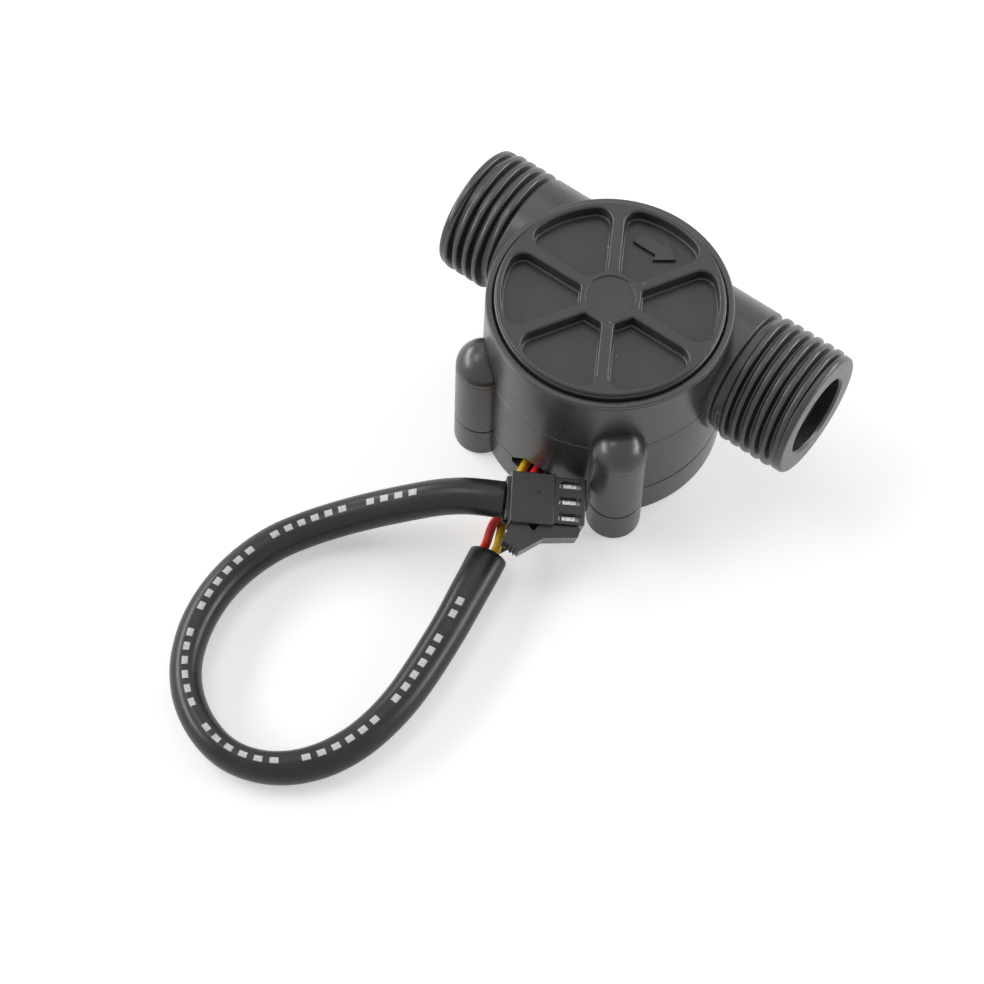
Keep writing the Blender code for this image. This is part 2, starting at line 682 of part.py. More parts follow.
def make_plug(material):
    """Latch connector: rear block, stepped nose, three contact tunnels with windows, side latch."""
    half_length, half_width, half_depth = plug_length / 2, plug_width / 2, plug_thickness / 2
    nose_start = half_length - plug_nose
    plug = block("connector_housing", (-half_length, -half_width, -half_depth),
                 (nose_start, half_width, half_depth), material)
    nose = block("nose_form", (nose_start - nose_overlap, -half_width + nose_step, -half_depth + nose_step),
                 (half_length, half_width - nose_step, half_depth - nose_step))
    side = latch_sink - half_width
    latch = prism("latch_form", [(x * mm, side - out * mm) for x, out in reversed(latch_shape)],
                  -latch_width / 2, latch_width / 2)
    cut(latch, prism("latch_gap", [(x * mm, side - out * mm) for x, out in latch_notch],
                     -latch_width / 4, latch_width))
    join(plug, nose, latch)
    for index, offset in enumerate(pin_offsets()):
        cut(plug, block("tunnel_%d" % index, (-half_length - gap, offset - cavity / 2, -cavity / 2),
                        (half_length + gap, offset + cavity / 2, cavity / 2)))
        cut(plug, block("window_%d" % index, (nose_start + window_inset, offset - window_width / 2, 0.0),
                        (half_length - window_inset, offset + window_width / 2, half_depth + gap)))
    for index in range(groove_count):
        share = (index + 0.5) / groove_count
        x, out = [(a + (b - a) * share) * mm for a, b in zip(latch_shape[1], latch_shape[2])]
        cut(plug, turned("latch_groove_%d" % index, [(0.0, -latch_width), (groove_radius, -latch_width),
                                                     (groove_radius, latch_width), (0.0, latch_width)],
                         segments=8, centre=(x, side - out)))
    for thing in [plug] + [item for item in bpy.data.objects if item.name.startswith(PLUG_TOOLS)]:
        thing.matrix_world = plug_matrix()
    return plug


PLUG_TOOLS = ("nose_form", "latch_", "tunnel_", "window_")


def make_contact(name, offset, material):
    """Crimped contact: a box end behind its window and a narrower barrel on the wire."""
    half_length = plug_length / 2
    box_start = half_length - plug_nose
    contact_piece = block(name, (box_start, offset - contact / 2, -contact / 2),
                          (half_length - contact_inset, offset + contact / 2, contact / 2), material)
    barrel = block("%s_barrel" % name,
                   (box_start - barrel_length, offset - barrel_width / 2, -barrel_width / 2),
                   (box_start + contact_inset, offset + barrel_width / 2, barrel_width / 2))
    barrel.matrix_world = plug_matrix()
    contact_piece.matrix_world = plug_matrix()
    join(contact_piece, barrel)
    return contact_piece


def make_leads(materials):
    """The three wires from the board, out through the slot and down into the sleeve."""
    start, following = sleeve_line()[:2]
    heading = (start - following).normalized()
    across = Vector((heading.y, -heading.x, 0.0))
    solder_y = board_centre_y - board_width / 2 + solder_inset
    ways = (("yellow", yellow_route, yellow_mouth, -1), ("red", red_route, red_mouth, 0),
            ("black", black_route, black_mouth, 1))
    for colour, middle, (side, up), column in ways:
        x = column * wire_pitch
        points = [Vector((x, solder_y, board_top + gap + wire_radius)),
                  Vector((x, cut_margin - spigot_inner, slot_centre)),
                  Vector((x, -cover_radius - cut_margin, slot_centre))]
        points += [beside_drum(place) for place in middle]
        mouth = start + heading * gap + across * side * mm + Vector((0.0, 0.0, up * mm))
        points += [mouth + heading * cut_margin, mouth]
        cord("wire_%s" % colour, smooth_route(points, 3.0 * wire_radius), wire_radius, materials[colour])


def make_tails(materials):
    """Short ends of the same wires between the sleeve and the contacts in the plug."""
    frame = plug_matrix()
    rear = -plug_length / 2
    crimp = plug_length / 2 - plug_nose - barrel_length
    inside = 0.62               # the wires stand this much closer together in the sleeve
    for colour, offset in zip(("black", "yellow", "red"), pin_offsets()):
        places = ((rear - tail_gap + 1.6 * gap, inside), (rear - gap, 0.9), (rear + tail_gap / 2, 1.0),
                  (crimp - gap, 1.0))
        points = [frame @ Vector((along, offset * share, 0.0)) for along, share in places]
        cord("wire_%s_tail" % colour, smooth_route(points, 1.5 * wire_radius), wire_radius, materials[colour])


def make_sleeve(material):
    frame = plug_matrix()
    rear = -plug_length / 2
    points = sleeve_line() + [frame @ Vector((rear - tail_gap, 0.0, 0.0))]
    cord("cable_sleeve", smooth_route(points, 2.2 * sleeve_radius), sleeve_radius, material, 3)


def main():
    clear_scene()
    housing_plastic = make_material("charcoal_plastic", (0.035, 0.036, 0.038), 0.45)
    wheel_plastic = make_material("wheel_plastic", (0.75, 0.74, 0.70), 0.40)
    magnet = make_material("ferrite", (0.05, 0.05, 0.055), 0.55)
    steel = make_material("steel", (0.62, 0.62, 0.63), 0.28, 1.0)
    bush = make_material("bush_plastic", (0.78, 0.76, 0.68), 0.45)
    board = make_material("board_green", (0.03, 0.19, 0.07), 0.45)
    chip = make_material("chip_black", (0.02, 0.02, 0.022), 0.5)
    tin = make_material("tinned_metal", (0.72, 0.72, 0.70), 0.3, 1.0)
    ceramic = make_material("ceramic_tan", (0.55, 0.43, 0.27), 0.5)
    sleeve = make_material("sleeve_vinyl", (0.028, 0.028, 0.03), 0.35)
    plug = make_material("plug_nylon", (0.02, 0.02, 0.022), 0.4)
    wires = {"red": make_material("wire_red", (0.75, 0.03, 0.02), 0.4),
             "yellow": make_material("wire_yellow", (0.80, 0.55, 0.02), 0.4),
             "black": make_material("wire_black", (0.02, 0.02, 0.02), 0.4)}

    make_body(housing_plastic)
    make_lid(housing_plastic)
    make_cover(housing_plastic)
    make_screw("cover_screw_left", -1, steel)
    make_screw("cover_screw_right", 1, steel)
    make_rotor(wheel_plastic)
    ring_piece("rotor_magnet", magnet_inner, magnet_outer, cup_foot + gap, cup_roof - gap, magnet)
    ring_piece("lower_bush", bush_bore, bush_radius, hub_foot, hub_foot + bush_length, bush)
    ring_piece("upper_bush", bush_bore, bush_radius, hub_head - bush_length, hub_head, bush)
    shaft_low = floor_boss_top - socket_depth + gap
    shaft_high = pocket_floor - gap
    turned("rotor_shaft", [(0.0, shaft_low), (shaft_radius - shaft_edge, shaft_low),
                           (shaft_radius, shaft_low + shaft_edge), (shaft_radius, shaft_high - shaft_edge),
                           (shaft_radius - shaft_edge, shaft_high), (0.0, shaft_high)], steel, 32)
    make_board(board)
    make_hall_chip(chip)
    chip_part("resistor", -0.1, resistor_height, chip)
    chip_part("capacitor", 0.25, capacitor_height, ceramic)
    make_leads(wires)
    make_sleeve(sleeve)
    make_tails(wires)
    make_plug(plug)
    for name, offset in zip(("contact_black", "contact_yellow", "contact_red"), pin_offsets()):
        make_contact(name, offset, tin)


main()
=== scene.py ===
import json
import math

import bmesh
import bpy
from mathutils import Matrix, Vector

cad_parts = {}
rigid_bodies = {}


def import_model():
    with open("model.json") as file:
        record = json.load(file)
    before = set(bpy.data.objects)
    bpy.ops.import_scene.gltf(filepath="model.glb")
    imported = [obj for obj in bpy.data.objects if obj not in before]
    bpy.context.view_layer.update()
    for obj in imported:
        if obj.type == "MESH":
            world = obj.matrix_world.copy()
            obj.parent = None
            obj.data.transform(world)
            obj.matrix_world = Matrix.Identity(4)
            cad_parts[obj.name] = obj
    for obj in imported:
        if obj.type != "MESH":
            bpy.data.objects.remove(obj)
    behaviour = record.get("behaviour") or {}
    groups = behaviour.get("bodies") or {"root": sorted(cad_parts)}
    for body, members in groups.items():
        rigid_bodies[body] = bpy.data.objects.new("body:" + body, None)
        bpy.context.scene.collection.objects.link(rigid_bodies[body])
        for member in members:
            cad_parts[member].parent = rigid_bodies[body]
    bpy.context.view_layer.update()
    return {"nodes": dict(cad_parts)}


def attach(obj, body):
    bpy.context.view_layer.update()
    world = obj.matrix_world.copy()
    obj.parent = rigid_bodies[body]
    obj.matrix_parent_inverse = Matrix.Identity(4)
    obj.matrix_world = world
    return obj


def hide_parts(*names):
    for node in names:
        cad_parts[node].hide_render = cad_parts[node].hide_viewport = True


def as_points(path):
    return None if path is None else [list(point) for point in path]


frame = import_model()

mm = 0.001
weld = 1e-6    # points closer than this become one
evenWeight = 60    # how much the flat faces count when normals are evened out
nodes = frame["nodes"]
print("frame loaded,", len(nodes), "nodes")


# Selecting and applying

def deselectAll():
    active = bpy.context.view_layer.objects.active
    if active and active.mode != "OBJECT":
        bpy.ops.object.mode_set(mode="OBJECT")
    bpy.ops.object.select_all(action="DESELECT")


def activate(piece):
    deselectAll()
    piece.select_set(True)
    bpy.context.view_layer.objects.active = piece


def applyPlace(piece):
    activate(piece)
    bpy.ops.object.transform_apply(location=True, rotation=True, scale=True)


def applyModifiers(piece):
    activate(piece)
    for modifier in list(piece.modifiers):
        bpy.ops.object.modifier_apply(modifier=modifier.name)


def editMesh(piece, action="SELECT", kind="VERT"):
    activate(piece)
    bpy.ops.object.mode_set(mode="EDIT")
    bpy.ops.mesh.select_mode(type="VERT")
    bpy.ops.mesh.select_all(action=action)
    bpy.ops.mesh.select_mode(type=kind)


def objectMode():
    bpy.ops.object.mode_set(mode="OBJECT")


def cleanNormals(piece):
    editMesh(piece)
    bpy.ops.mesh.remove_doubles(threshold=weld)
    bpy.ops.mesh.normals_make_consistent(inside=False)
    objectMode()


def combine(target, tool, operation):
    booleanStep = target.modifiers.new("step", "BOOLEAN")
    booleanStep.operation = operation
    booleanStep.solver = "EXACT"
    booleanStep.object = tool
    applyModifiers(target)
    bpy.data.objects.remove(tool, do_unlink=True)


def join(target, *tools):
    for tool in tools:
        combine(target, tool, "UNION")


def cut(target, *tools):
    for tool in tools:
        combine(target, tool, "DIFFERENCE")


def pick(piece, kind, wanted):    # edit mode, with the faces or edges selected that pass the test
    editMesh(piece, "DESELECT", kind)
    mesh = bmesh.from_edit_mesh(piece.data)
    for part in mesh.faces if kind == "FACE" else mesh.edges:
        part.select_set(bool(wanted(part)))
    bmesh.update_edit_mesh(piece.data)


def smoothShade(piece, angle=30, weighted=True, crease=None):
    activate(piece)
    bpy.ops.object.shade_smooth_by_angle(angle=math.radians(angle))
    if crease:
        pick(piece, "EDGE", crease)
        bpy.ops.mesh.mark_sharp()
        objectMode()
    if weighted:
        # flat faces keep their normals, and the small roundings take the turn
        evenOut = piece.modifiers.new("evenOut", "WEIGHTED_NORMAL")
        evenOut.keep_sharp = True
        evenOut.weight = evenWeight
        applyModifiers(piece)


# Outlines, in millimetres

cornerReach = 0.49    # the most of either edge that a rounded corner takes


# points are (x, y), or (x, y, corner) where an arc rounds the corner
def rounded(points, steps=5):
    out = []
    for index, point in enumerate(points):
        here = Vector(point[:2])
        corner = point[2] if len(point) > 2 else 0
        if not corner:
            out.append(tuple(here))
            continue
        before = Vector(points[index - 1][:2]) - here
        after = Vector(points[(index + 1) % len(points)][:2]) - here
        half = before.angle(after) / 2
        back = min(corner / math.tan(half), cornerReach * before.length, cornerReach * after.length)
        start = here + before.normalized() * back
        end = here + after.normalized() * back
        radius = back * math.tan(half)
        centre = here + (before.normalized() + after.normalized()).normalized() * radius / math.sin(half)
        first, last = start - centre, end - centre
        for step in range(steps + 1):
            out.append(tuple(centre + first.slerp(last, step / steps).normalized() * radius))
    return out


def circlePoints(centre, radius, start, stop, steps):
    turns = [math.radians(start + (stop - start) * step / steps) for step in range(steps + 1)]
    return [(centre[0] + radius * math.cos(turn), centre[1] + radius * math.sin(turn)) for turn in turns]


def drawOutline(name, points, plane="XZ"):    # one vertex, extruded from point to point
    places = [Vector((x, 0, y) if plane == "XZ" else (x, y, 0)) * mm for x, y in points]
    deselectAll()
    bpy.ops.mesh.primitive_plane_add(size=mm, location=places[0])
    piece = bpy.context.object
    piece.name = name
    editMesh(piece)
    bpy.ops.mesh.merge(type="CENTER")
    for before, after in zip(places, places[1:]):
        bpy.ops.mesh.extrude_region_move(TRANSFORM_OT_translate={"value": after - before})
    objectMode()
    applyPlace(piece)
    return piece


# spins an outline of (radius, height) or (radius, height, corner) about its axis
def lathe(name, outline, sides, centre=(0, 0), along="Z", corners=5):
    piece = drawOutline(name, rounded(outline, corners))
    editMesh(piece)
    bpy.ops.mesh.spin(steps=sides, angle=2 * math.pi, center=(0, 0, 0), axis=(0, 0, 1))
    objectMode()
    cleanNormals(piece)
    if along == "X":
        piece.rotation_euler = (0, math.pi / 2, 0)
        piece.location = (0, centre[0] * mm, centre[1] * mm)
    else:
        piece.location = (centre[0] * mm, centre[1] * mm, 0)
    applyPlace(piece)
    return piece


# rings are (height, outline), all with as many points, and the outline is extruded from one to the next
def loft(name, rings):
    piece = drawOutline(name, rings[0][1], "XY")
    editMesh(piece)
    bpy.ops.mesh.edge_face_add()
    bpy.ops.transform.translate(value=(0, 0, rings[0][0] * mm))
    for (low, before), (high, after) in zip(rings, rings[1:]):
        bpy.ops.mesh.extrude_region_move(TRANSFORM_OT_translate={"value": (0, 0, (high - low) * mm)})
        if after is before:
            continue
        mesh = bmesh.from_edit_mesh(piece.data)
        for vertex in [vertex for vertex in mesh.verts if vertex.select]:
            here = vertex.co.xy / mm
            nearest = min(range(len(before)), key=lambda index: (Vector(before[index]) - here).length)
            vertex.co.xy = Vector(after[nearest]) * mm
        bmesh.update_edit_mesh(piece.data)
    objectMode()
    cleanNormals(piece)
    return piece


def prism(name, outline, low, high):
    return loft(name, [(low, outline), (high, outline)])


def block(name, low, high, edge):    # a box between two corners, with its edges rounded
    middle = [(start + end) / 2 * mm for start, end in zip(low, high)]
    deselectAll()
    bpy.ops.mesh.primitive_cube_add(size=1, location=middle)
    piece = bpy.context.object
    piece.name = name
    piece.scale = [(end - start) * mm for start, end in zip(low, high)]
    applyPlace(piece)
    editMesh(piece)
    bpy.ops.mesh.bevel(offset=edge * mm, segments=3, affect="EDGES", profile=0.5)
    objectMode()
    return piece


def finish(piece, name, material, slot, *replaced):
    piece.name = name
    piece.data.name = name
    piece.data.materials.clear()
    piece.data.materials.append(material)
    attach(piece, "housing")
    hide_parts(*replaced)
    return piece


# Materials

class Signal:    # a node's output, on which sums and products add their own Math nodes

    def __init__(self, recipe, socket):
        self.recipe, self.socket = recipe, socket

    def math(self, operation, *others):
        inputs = dict(enumerate((self,) + others))
        return self.recipe.node("ShaderNodeMath", {"operation": operation}, inputs)

    def swapped(self, operation, other):
        return self.recipe.node("ShaderNodeMath", {"operation": operation}, {0: other, 1: self})

    def __add__(self, other):
        return self.math("ADD", other)

    def __sub__(self, other):
        return self.math("SUBTRACT", other)

    def __mul__(self, other):
        return self.math("MULTIPLY", other)

    def __radd__(self, other):
        return self.swapped("ADD", other)

    def __rsub__(self, other):
        return self.swapped("SUBTRACT", other)

    def __rmul__(self, other):
        return self.swapped("MULTIPLY", other)


# sizes of patterns and depths of bumps are in millimetres
class Recipe:
    def __init__(self, name, colour, roughness, metallic=0.0, **constants):
        self.material = bpy.data.materials.new(name)
        self.material.use_nodes = True
        self.tree = self.material.node_tree
        self.shader = self.tree.nodes["Principled BSDF"]
        self.shader.inputs["Base Color"].default_value = (*colour, 1)
        self.shader.inputs["Roughness"].default_value = roughness
        self.shader.inputs["Metallic"].default_value = metallic
        for key, value in constants.items():
            self.shader.inputs[key.replace("_", " ")].default_value = value
        self.material.diffuse_color = (*colour, 1)
        self.place = self.node("ShaderNodeTexCoord", {}, {}, "Object")

    def feed(self, socket, value):
        if isinstance(value, Signal):
            self.tree.links.new(value.socket, socket)
        else:
            socket.default_value = value

    def node(self, kind, settings, inputs, output=0):
        made = self.tree.nodes.new(kind)
        for key, value in settings.items():
            setattr(made, key, value)
        for key, value in inputs.items():
            self.feed(made.inputs[key], value)
        return Signal(self, made.outputs[output])

    def noise(self, size, detail=2.0, roughness=0.5):
        inputs = {"Vector": self.place, "Scale": 1 / (size * mm), "Detail": detail, "Roughness": roughness}
        return self.node("ShaderNodeTexNoise", {}, inputs, "Fac")

    def spots(self, gap, shift):
        shifted = self.node("ShaderNodeVectorMath", {"operation": "ADD"}, {0: self.place, 1: shift})
        return self.node("ShaderNodeTexVoronoi", {}, {"Vector": shifted, "Scale": 1 / (gap * mm)}, "Distance")

    # maps low..high to start..end and holds the ends
    def between(self, value, low, high, start=0.0, end=1.0):
        return self.node("ShaderNodeMapRange", {"clamp": True},
                         {"Value": value, "From Min": low, "From Max": high, "To Min": start, "To Max": end})

    def below(self, value, edge, soft):    # 1 up to the edge, then 0
        return self.between(value, edge - soft, edge + soft, 1, 0)

    def mixColour(self, share, first, second):
        made = self.tree.nodes.new("ShaderNodeMix")
        made.data_type = "RGBA"
        self.feed(made.inputs[0], share)
        for socket, colour in ((made.inputs[6], first), (made.inputs[7], second)):
            self.feed(socket, colour if isinstance(colour, Signal) else (*colour, 1))
        return Signal(self, made.outputs[2])

    # roughness that strays from its middle with a wide and a fine pattern
    def worn(self, look, wide, fine):
        return look["roughness"] + (wide - 0.5) * look["roughCloud"] + (fine - 0.5) * look["roughGrain"]

    def bump(self, height, depth, under=None):
        inputs = {"Height": height, "Distance": depth * mm}
        if under:
            inputs["Normal"] = under
        return self.node("ShaderNodeBump", {}, inputs)

    def use(self, socket, signal):
        self.tree.links.new(signal.socket, self.shader.inputs[socket])


# charcoal plastic: fine grain, soft clouds and a few pale specks of dust
bodyLook = {"colour": (0.036, 0.0365, 0.0375), "dark": (0.029, 0.0295, 0.0305),
            "light": (0.054, 0.0545, 0.055), "specular": 0.62,
            "roughness": 0.30, "roughCloud": 0.16, "roughGrain": 0.14,
            "grain": 0.32, "grainRange": (0.3, 0.75), "grainShare": 0.35, "grainDepth": 0.012,
            "cloud": 4.5, "cloudRange": (0.35, 0.65), "cloudDepth": 0.02,
            "speck": (0.26, 0.26, 0.255), "speckGap": 2.3, "speckShift": (0.013, 0.0091, 0.0039),
            "speckSize": (0.05, 0.10), "rareSpread": 3.1, "rareRange": (0.52, 0.60), "speckStrength": 0.6}
lidLook = dict(bodyLook, roughness=0.33, specular=0.42, grain=0.36, grainDepth=0.02, cloud=2.6,
               speckGap=1.9, speckStrength=0.8)


def mouldedPlastic(name, look):
    recipe = Recipe(name, look["colour"], look["roughness"], Specular_IOR_Level=look["specular"])
    grain = recipe.noise(look["grain"], detail=3, roughness=0.6)
    cloud = recipe.noise(look["cloud"], detail=3, roughness=0.55)
    speck = recipe.between(recipe.spots(look["speckGap"], look["speckShift"]), *look["speckSize"], 1, 0)
    rare = recipe.between(recipe.noise(look["speckGap"] * look["rareSpread"], detail=1), *look["rareRange"])
    shade = recipe.mixColour(recipe.between(cloud, *look["cloudRange"]), look["dark"], look["colour"])
    grainy = recipe.between(grain, *look["grainRange"]) * look["grainShare"]
    shade = recipe.mixColour(grainy, shade, look["light"])
    shade = recipe.mixColour(speck * rare * look["speckStrength"], shade, look["speck"])
    recipe.use("Base Color", shade)
    recipe.use("Roughness", recipe.worn(look, cloud, grain))
    recipe.use("Normal", recipe.bump(cloud, look["cloudDepth"], recipe.bump(grain, look["grainDepth"])))
    return recipe.material


# vary is how much darker the clouds are
plainLook = {"metallic": 0.0, "vary": 0.2, "roughCloud": 0.15, "roughGrain": 0.1, "grain": 0.3,
             "grainDepth": 0.006, "cloud": 3.0, "cloudRange": (0.35, 0.65)}


def plainFinish(name, colour, roughness, **changes):
    look = dict(plainLook, roughness=roughness, **changes)
    recipe = Recipe(name, colour, roughness, look["metallic"])
    fine = recipe.noise(look["grain"], detail=3, roughness=0.6)
    wide = recipe.noise(look["cloud"])
    dark = tuple(value * (1 - look["vary"]) for value in colour)
    recipe.use("Base Color", recipe.mixColour(recipe.between(wide, *look["cloudRange"]), dark, colour))
    recipe.use("Roughness", recipe.worn(look, wide, fine))
    recipe.use("Normal", recipe.bump(fine, look["grainDepth"]))
    return recipe.material


# black vinyl with plain dashes printed along its upper side, placed in millimetres along the sleeve
skinLook = {"colour": (0.013, 0.013, 0.014), "pale": (0.021, 0.021, 0.022), "cloudRange": (0.35, 0.65),
            "specular": 0.36, "roughness": 0.31, "roughCloud": 0.18, "roughGrain": 0.12, "roughInk": 0.15,
            "grain": 0.45, "grainDepth": 0.01, "cloud": 6.0, "cloudDepth": 0.05,
            "ink": (0.62, 0.63, 0.65), "worn": (0.28, 0.42), "wornInk": 0.55,
            "period": 2.35, "dash": 0.55, "dashSoft": 0.02, "group": 16.45, "run": 0.82, "runSoft": 0.002,
            "around": 0.25, "halfLine": 0.030, "lineSoft": 0.004, "first": 9.0, "last": 124.0, "endSoft": 0.2}


def sleeveSkin(name):
    look = skinLook
    recipe = Recipe(name, look["colour"], look["roughness"], Specular_IOR_Level=look["specular"])
    along = recipe.node("ShaderNodeAttribute", {"attribute_name": "along"}, {}, "Fac")
    around = recipe.node("ShaderNodeAttribute", {"attribute_name": "around"}, {}, "Fac")
    fine = recipe.noise(look["grain"], detail=3, roughness=0.6)
    wide = recipe.noise(look["cloud"])
    dash = recipe.below((along * (1 / look["period"])).math("FRACT"), look["dash"], look["dashSoft"])
    group = recipe.below((along * (1 / look["group"])).math("FRACT"), look["run"], look["runSoft"])
    line = recipe.below((around - look["around"]).math("ABSOLUTE"), look["halfLine"], look["lineSoft"])
    ends = (recipe.between(along, look["first"], look["first"] + look["endSoft"])
            * recipe.between(along, look["last"], look["last"] + look["endSoft"], 1, 0))
    inked = dash * group * line * ends * recipe.between(fine, *look["worn"], look["wornInk"], 1)
    shade = recipe.mixColour(recipe.between(wide, *look["cloudRange"]), look["colour"], look["pale"])
    recipe.use("Base Color", recipe.mixColour(inked, shade, look["ink"]))
    recipe.use("Roughness", recipe.worn(look, wide, fine) + inked * look["roughInk"])
    recipe.use("Normal", recipe.bump(fine, look["grainDepth"], recipe.bump(wide, look["cloudDepth"])))
    return recipe.material


bodyPlastic = mouldedPlastic("charcoalPlastic", bodyLook)
lidPlastic = mouldedPlastic("charcoalLidPlastic", lidLook)
sleeveVinyl = sleeveSkin("sleeveVinyl")
plugNylon = plainFinish("plugNylon", (0.036, 0.036, 0.037), 0.28, grain=0.25, cloud=2.0)
wireFinish = {"grainDepth": 0.004, "cloud": 2.0}
insulation = {"yellow": plainFinish("insulationYellow", (0.82, 0.50, 0.012), 0.38, vary=0.15, **wireFinish),
              "red": plainFinish("insulationRed", (0.87, 0.026, 0.016), 0.38, vary=0.15, **wireFinish),
              "black": plainFinish("insulationBlack", (0.02, 0.02, 0.02), 0.38, **wireFinish)}
tinnedMetal = plainFinish("tinnedMetal", (0.86, 0.85, 0.82), 0.40, metallic=0.85, vary=0.15, grain=0.12,
                          grainDepth=0.01, cloud=0.6)
steel = plainFinish("screwSteel", (0.60, 0.60, 0.61), 0.28, metallic=1.0, grain=0.15, cloud=1.0)
wheelPlastic = plainFinish("wheelPlastic", (0.75, 0.74, 0.70), 0.42)
ferrite = plainFinish("ferrite", (0.05, 0.05, 0.055), 0.6, vary=0.3, grain=0.12, grainDepth=0.02)
bushPlastic = plainFinish("bushPlastic", (0.78, 0.76, 0.68), 0.45)
boardGreen = plainFinish("boardGreen", (0.03, 0.19, 0.07), 0.4, vary=0.35, grain=0.2, grainDepth=0.01,
                         cloud=1.2)
chipBlack = plainFinish("chipBlack", (0.02, 0.02, 0.022), 0.5)
ceramicTan = plainFinish("ceramicTan", (0.55, 0.43, 0.27), 0.5)

# the pieces inside keep their plain solids
nodeFinish = {"rotor": wheelPlastic, "rotor_magnet": ferrite, "lower_bush": bushPlastic,
              "upper_bush": bushPlastic, "rotor_shaft": steel, "circuit_board": boardGreen,
              "hall_sensor": chipBlack, "resistor": chipBlack, "capacitor": ceramicTan,
              "cover_screw_left": steel, "cover_screw_right": steel}
for nodeName, nodeMaterial in nodeFinish.items():
    for materialSlot in nodes[nodeName].material_slots:
        materialSlot.material = nodeMaterial
print("materials made")


# Camera at the photograph's angle, lamps, backdrop

cameraLook = {"place": (133.28, -226.42, 432.11), "azimuth": 34.051, "elevation": 60.286, "roll": 2.436,
              "lens": 117.66, "sensor": 36.0, "nearest": 10}


def addCamera():
    azimuth, elevation, roll = (math.radians(cameraLook[angle]) for angle in ("azimuth", "elevation", "roll"))
    back = Vector((math.sin(azimuth) * math.cos(elevation), -math.cos(azimuth) * math.cos(elevation),
                   math.sin(elevation)))
    level = Vector((math.cos(azimuth), math.sin(azimuth), 0))
    upright = back.cross(level)
    right = level * math.cos(roll) + upright * math.sin(roll)
    up = upright * math.cos(roll) - level * math.sin(roll)
    turn = Matrix((right, up, back)).transposed().to_4x4()
    bpy.ops.object.camera_add()
    camera = bpy.context.object
    camera.matrix_world = Matrix.Translation(Vector(cameraLook["place"]) * mm) @ turn
    camera.data.lens = cameraLook["lens"]
    camera.data.sensor_width = cameraLook["sensor"]
    camera.data.sensor_fit = "HORIZONTAL"
    camera.data.clip_start = cameraLook["nearest"] * mm
    bpy.context.scene.camera = camera


# low side softboxes light the rounded edges, the two above light the flat tops
lampLook = {"left": {"place": (-450, -160, 210), "wide": 650, "tall": 150, "watts": 2.5},
            "right": {"place": (310, 370, 210), "wide": 650, "tall": 150, "watts": 2.5},
            "overhead": {"place": (-90, 200, 430), "wide": 380, "tall": 380, "watts": 0.32},
            "soft": {"place": (-210, -110, 430), "wide": 170, "tall": 170, "watts": 0.30}}
lampTarget = (0, 0, 15)


def addLamps():
    target = Vector(lampTarget) * mm
    for name, lamp in lampLook.items():
        place = Vector(lamp["place"]) * mm
        bpy.ops.object.light_add(type="AREA", location=place)
        light = bpy.context.object
        light.name = "lamp_" + name
        light.rotation_euler = (place - target).to_track_quat("Z", "Y").to_euler()
        light.data.shape = "RECTANGLE"
        light.data.size = lamp["wide"] * mm
        light.data.size_y = lamp["tall"] * mm
        light.data.energy = lamp["watts"]


# seen is the backdrop's strength, lift the floor's own glow, both only for what the camera sees
worldLook = {"colour": (1, 1, 1, 1), "strength": 0.12, "seen": 1.0}
floorLook = {"size": 4000, "height": -0.03, "colour": (0.82, 0.82, 0.82, 1), "lift": 0.45}


def seenRays(tree):    # 1 for what the camera sees, straight or in a reflection
    rays = tree.nodes.new("ShaderNodeLightPath")
    found = rays.outputs["Is Camera Ray"]
    for kind in ("Is Glossy Ray", "Is Transmission Ray"):
        both = tree.nodes.new("ShaderNodeMath")
        both.operation = "MAXIMUM"
        tree.links.new(found, both.inputs[0])
        tree.links.new(rays.outputs[kind], both.inputs[1])
        found = both.outputs[0]
    return found


def addWorld():
    world = bpy.data.worlds.new("studio")
    world.use_nodes = True
    bpy.context.scene.world = world
    tree = world.node_tree
    lighting = tree.nodes["Background"]
    backdrop = tree.nodes.new("ShaderNodeBackground")
    for node, strength in ((lighting, worldLook["strength"]), (backdrop, worldLook["seen"])):
        node.inputs["Color"].default_value = worldLook["colour"]
        node.inputs["Strength"].default_value = strength
    mixed = tree.nodes.new("ShaderNodeMixShader")
    tree.links.new(seenRays(tree), mixed.inputs[0])
    tree.links.new(lighting.outputs[0], mixed.inputs[1])
    tree.links.new(backdrop.outputs[0], mixed.inputs[2])
    tree.links.new(mixed.outputs[0], tree.nodes["World Output"].inputs["Surface"])


def paleFloor():
    paper = bpy.data.materials.new("paleFloor")
    paper.use_nodes = True
    tree = paper.node_tree
    tree.nodes.clear()
    shine = tree.nodes.new("ShaderNodeBsdfDiffuse")
    shine.inputs["Color"].default_value = floorLook["colour"]
    lift = tree.nodes.new("ShaderNodeMath")
    lift.operation = "MULTIPLY"
    lift.inputs[1].default_value = floorLook["lift"]
    tree.links.new(seenRays(tree), lift.inputs[0])
    glow = tree.nodes.new("ShaderNodeEmission")
    tree.links.new(lift.outputs[0], glow.inputs["Strength"])
    together = tree.nodes.new("ShaderNodeAddShader")
    tree.links.new(shine.outputs[0], together.inputs[0])
    tree.links.new(glow.outputs[0], together.inputs[1])
    out = tree.nodes.new("ShaderNodeOutputMaterial")
    tree.links.new(together.outputs[0], out.inputs["Surface"])
    return paper


def addFloor():
    bpy.ops.mesh.primitive_plane_add(size=floorLook["size"] * mm, location=(0, 0, floorLook["height"] * mm))
    floor = bpy.context.object
    floor.name = "floor"
    floor.data.materials.append(paleFloor())


deselectAll()
addCamera()
addLamps()
addWorld()
addFloor()
bpy.context.scene.view_settings.view_transform = "Standard"
print("camera, lamps and floor placed")


# Cords

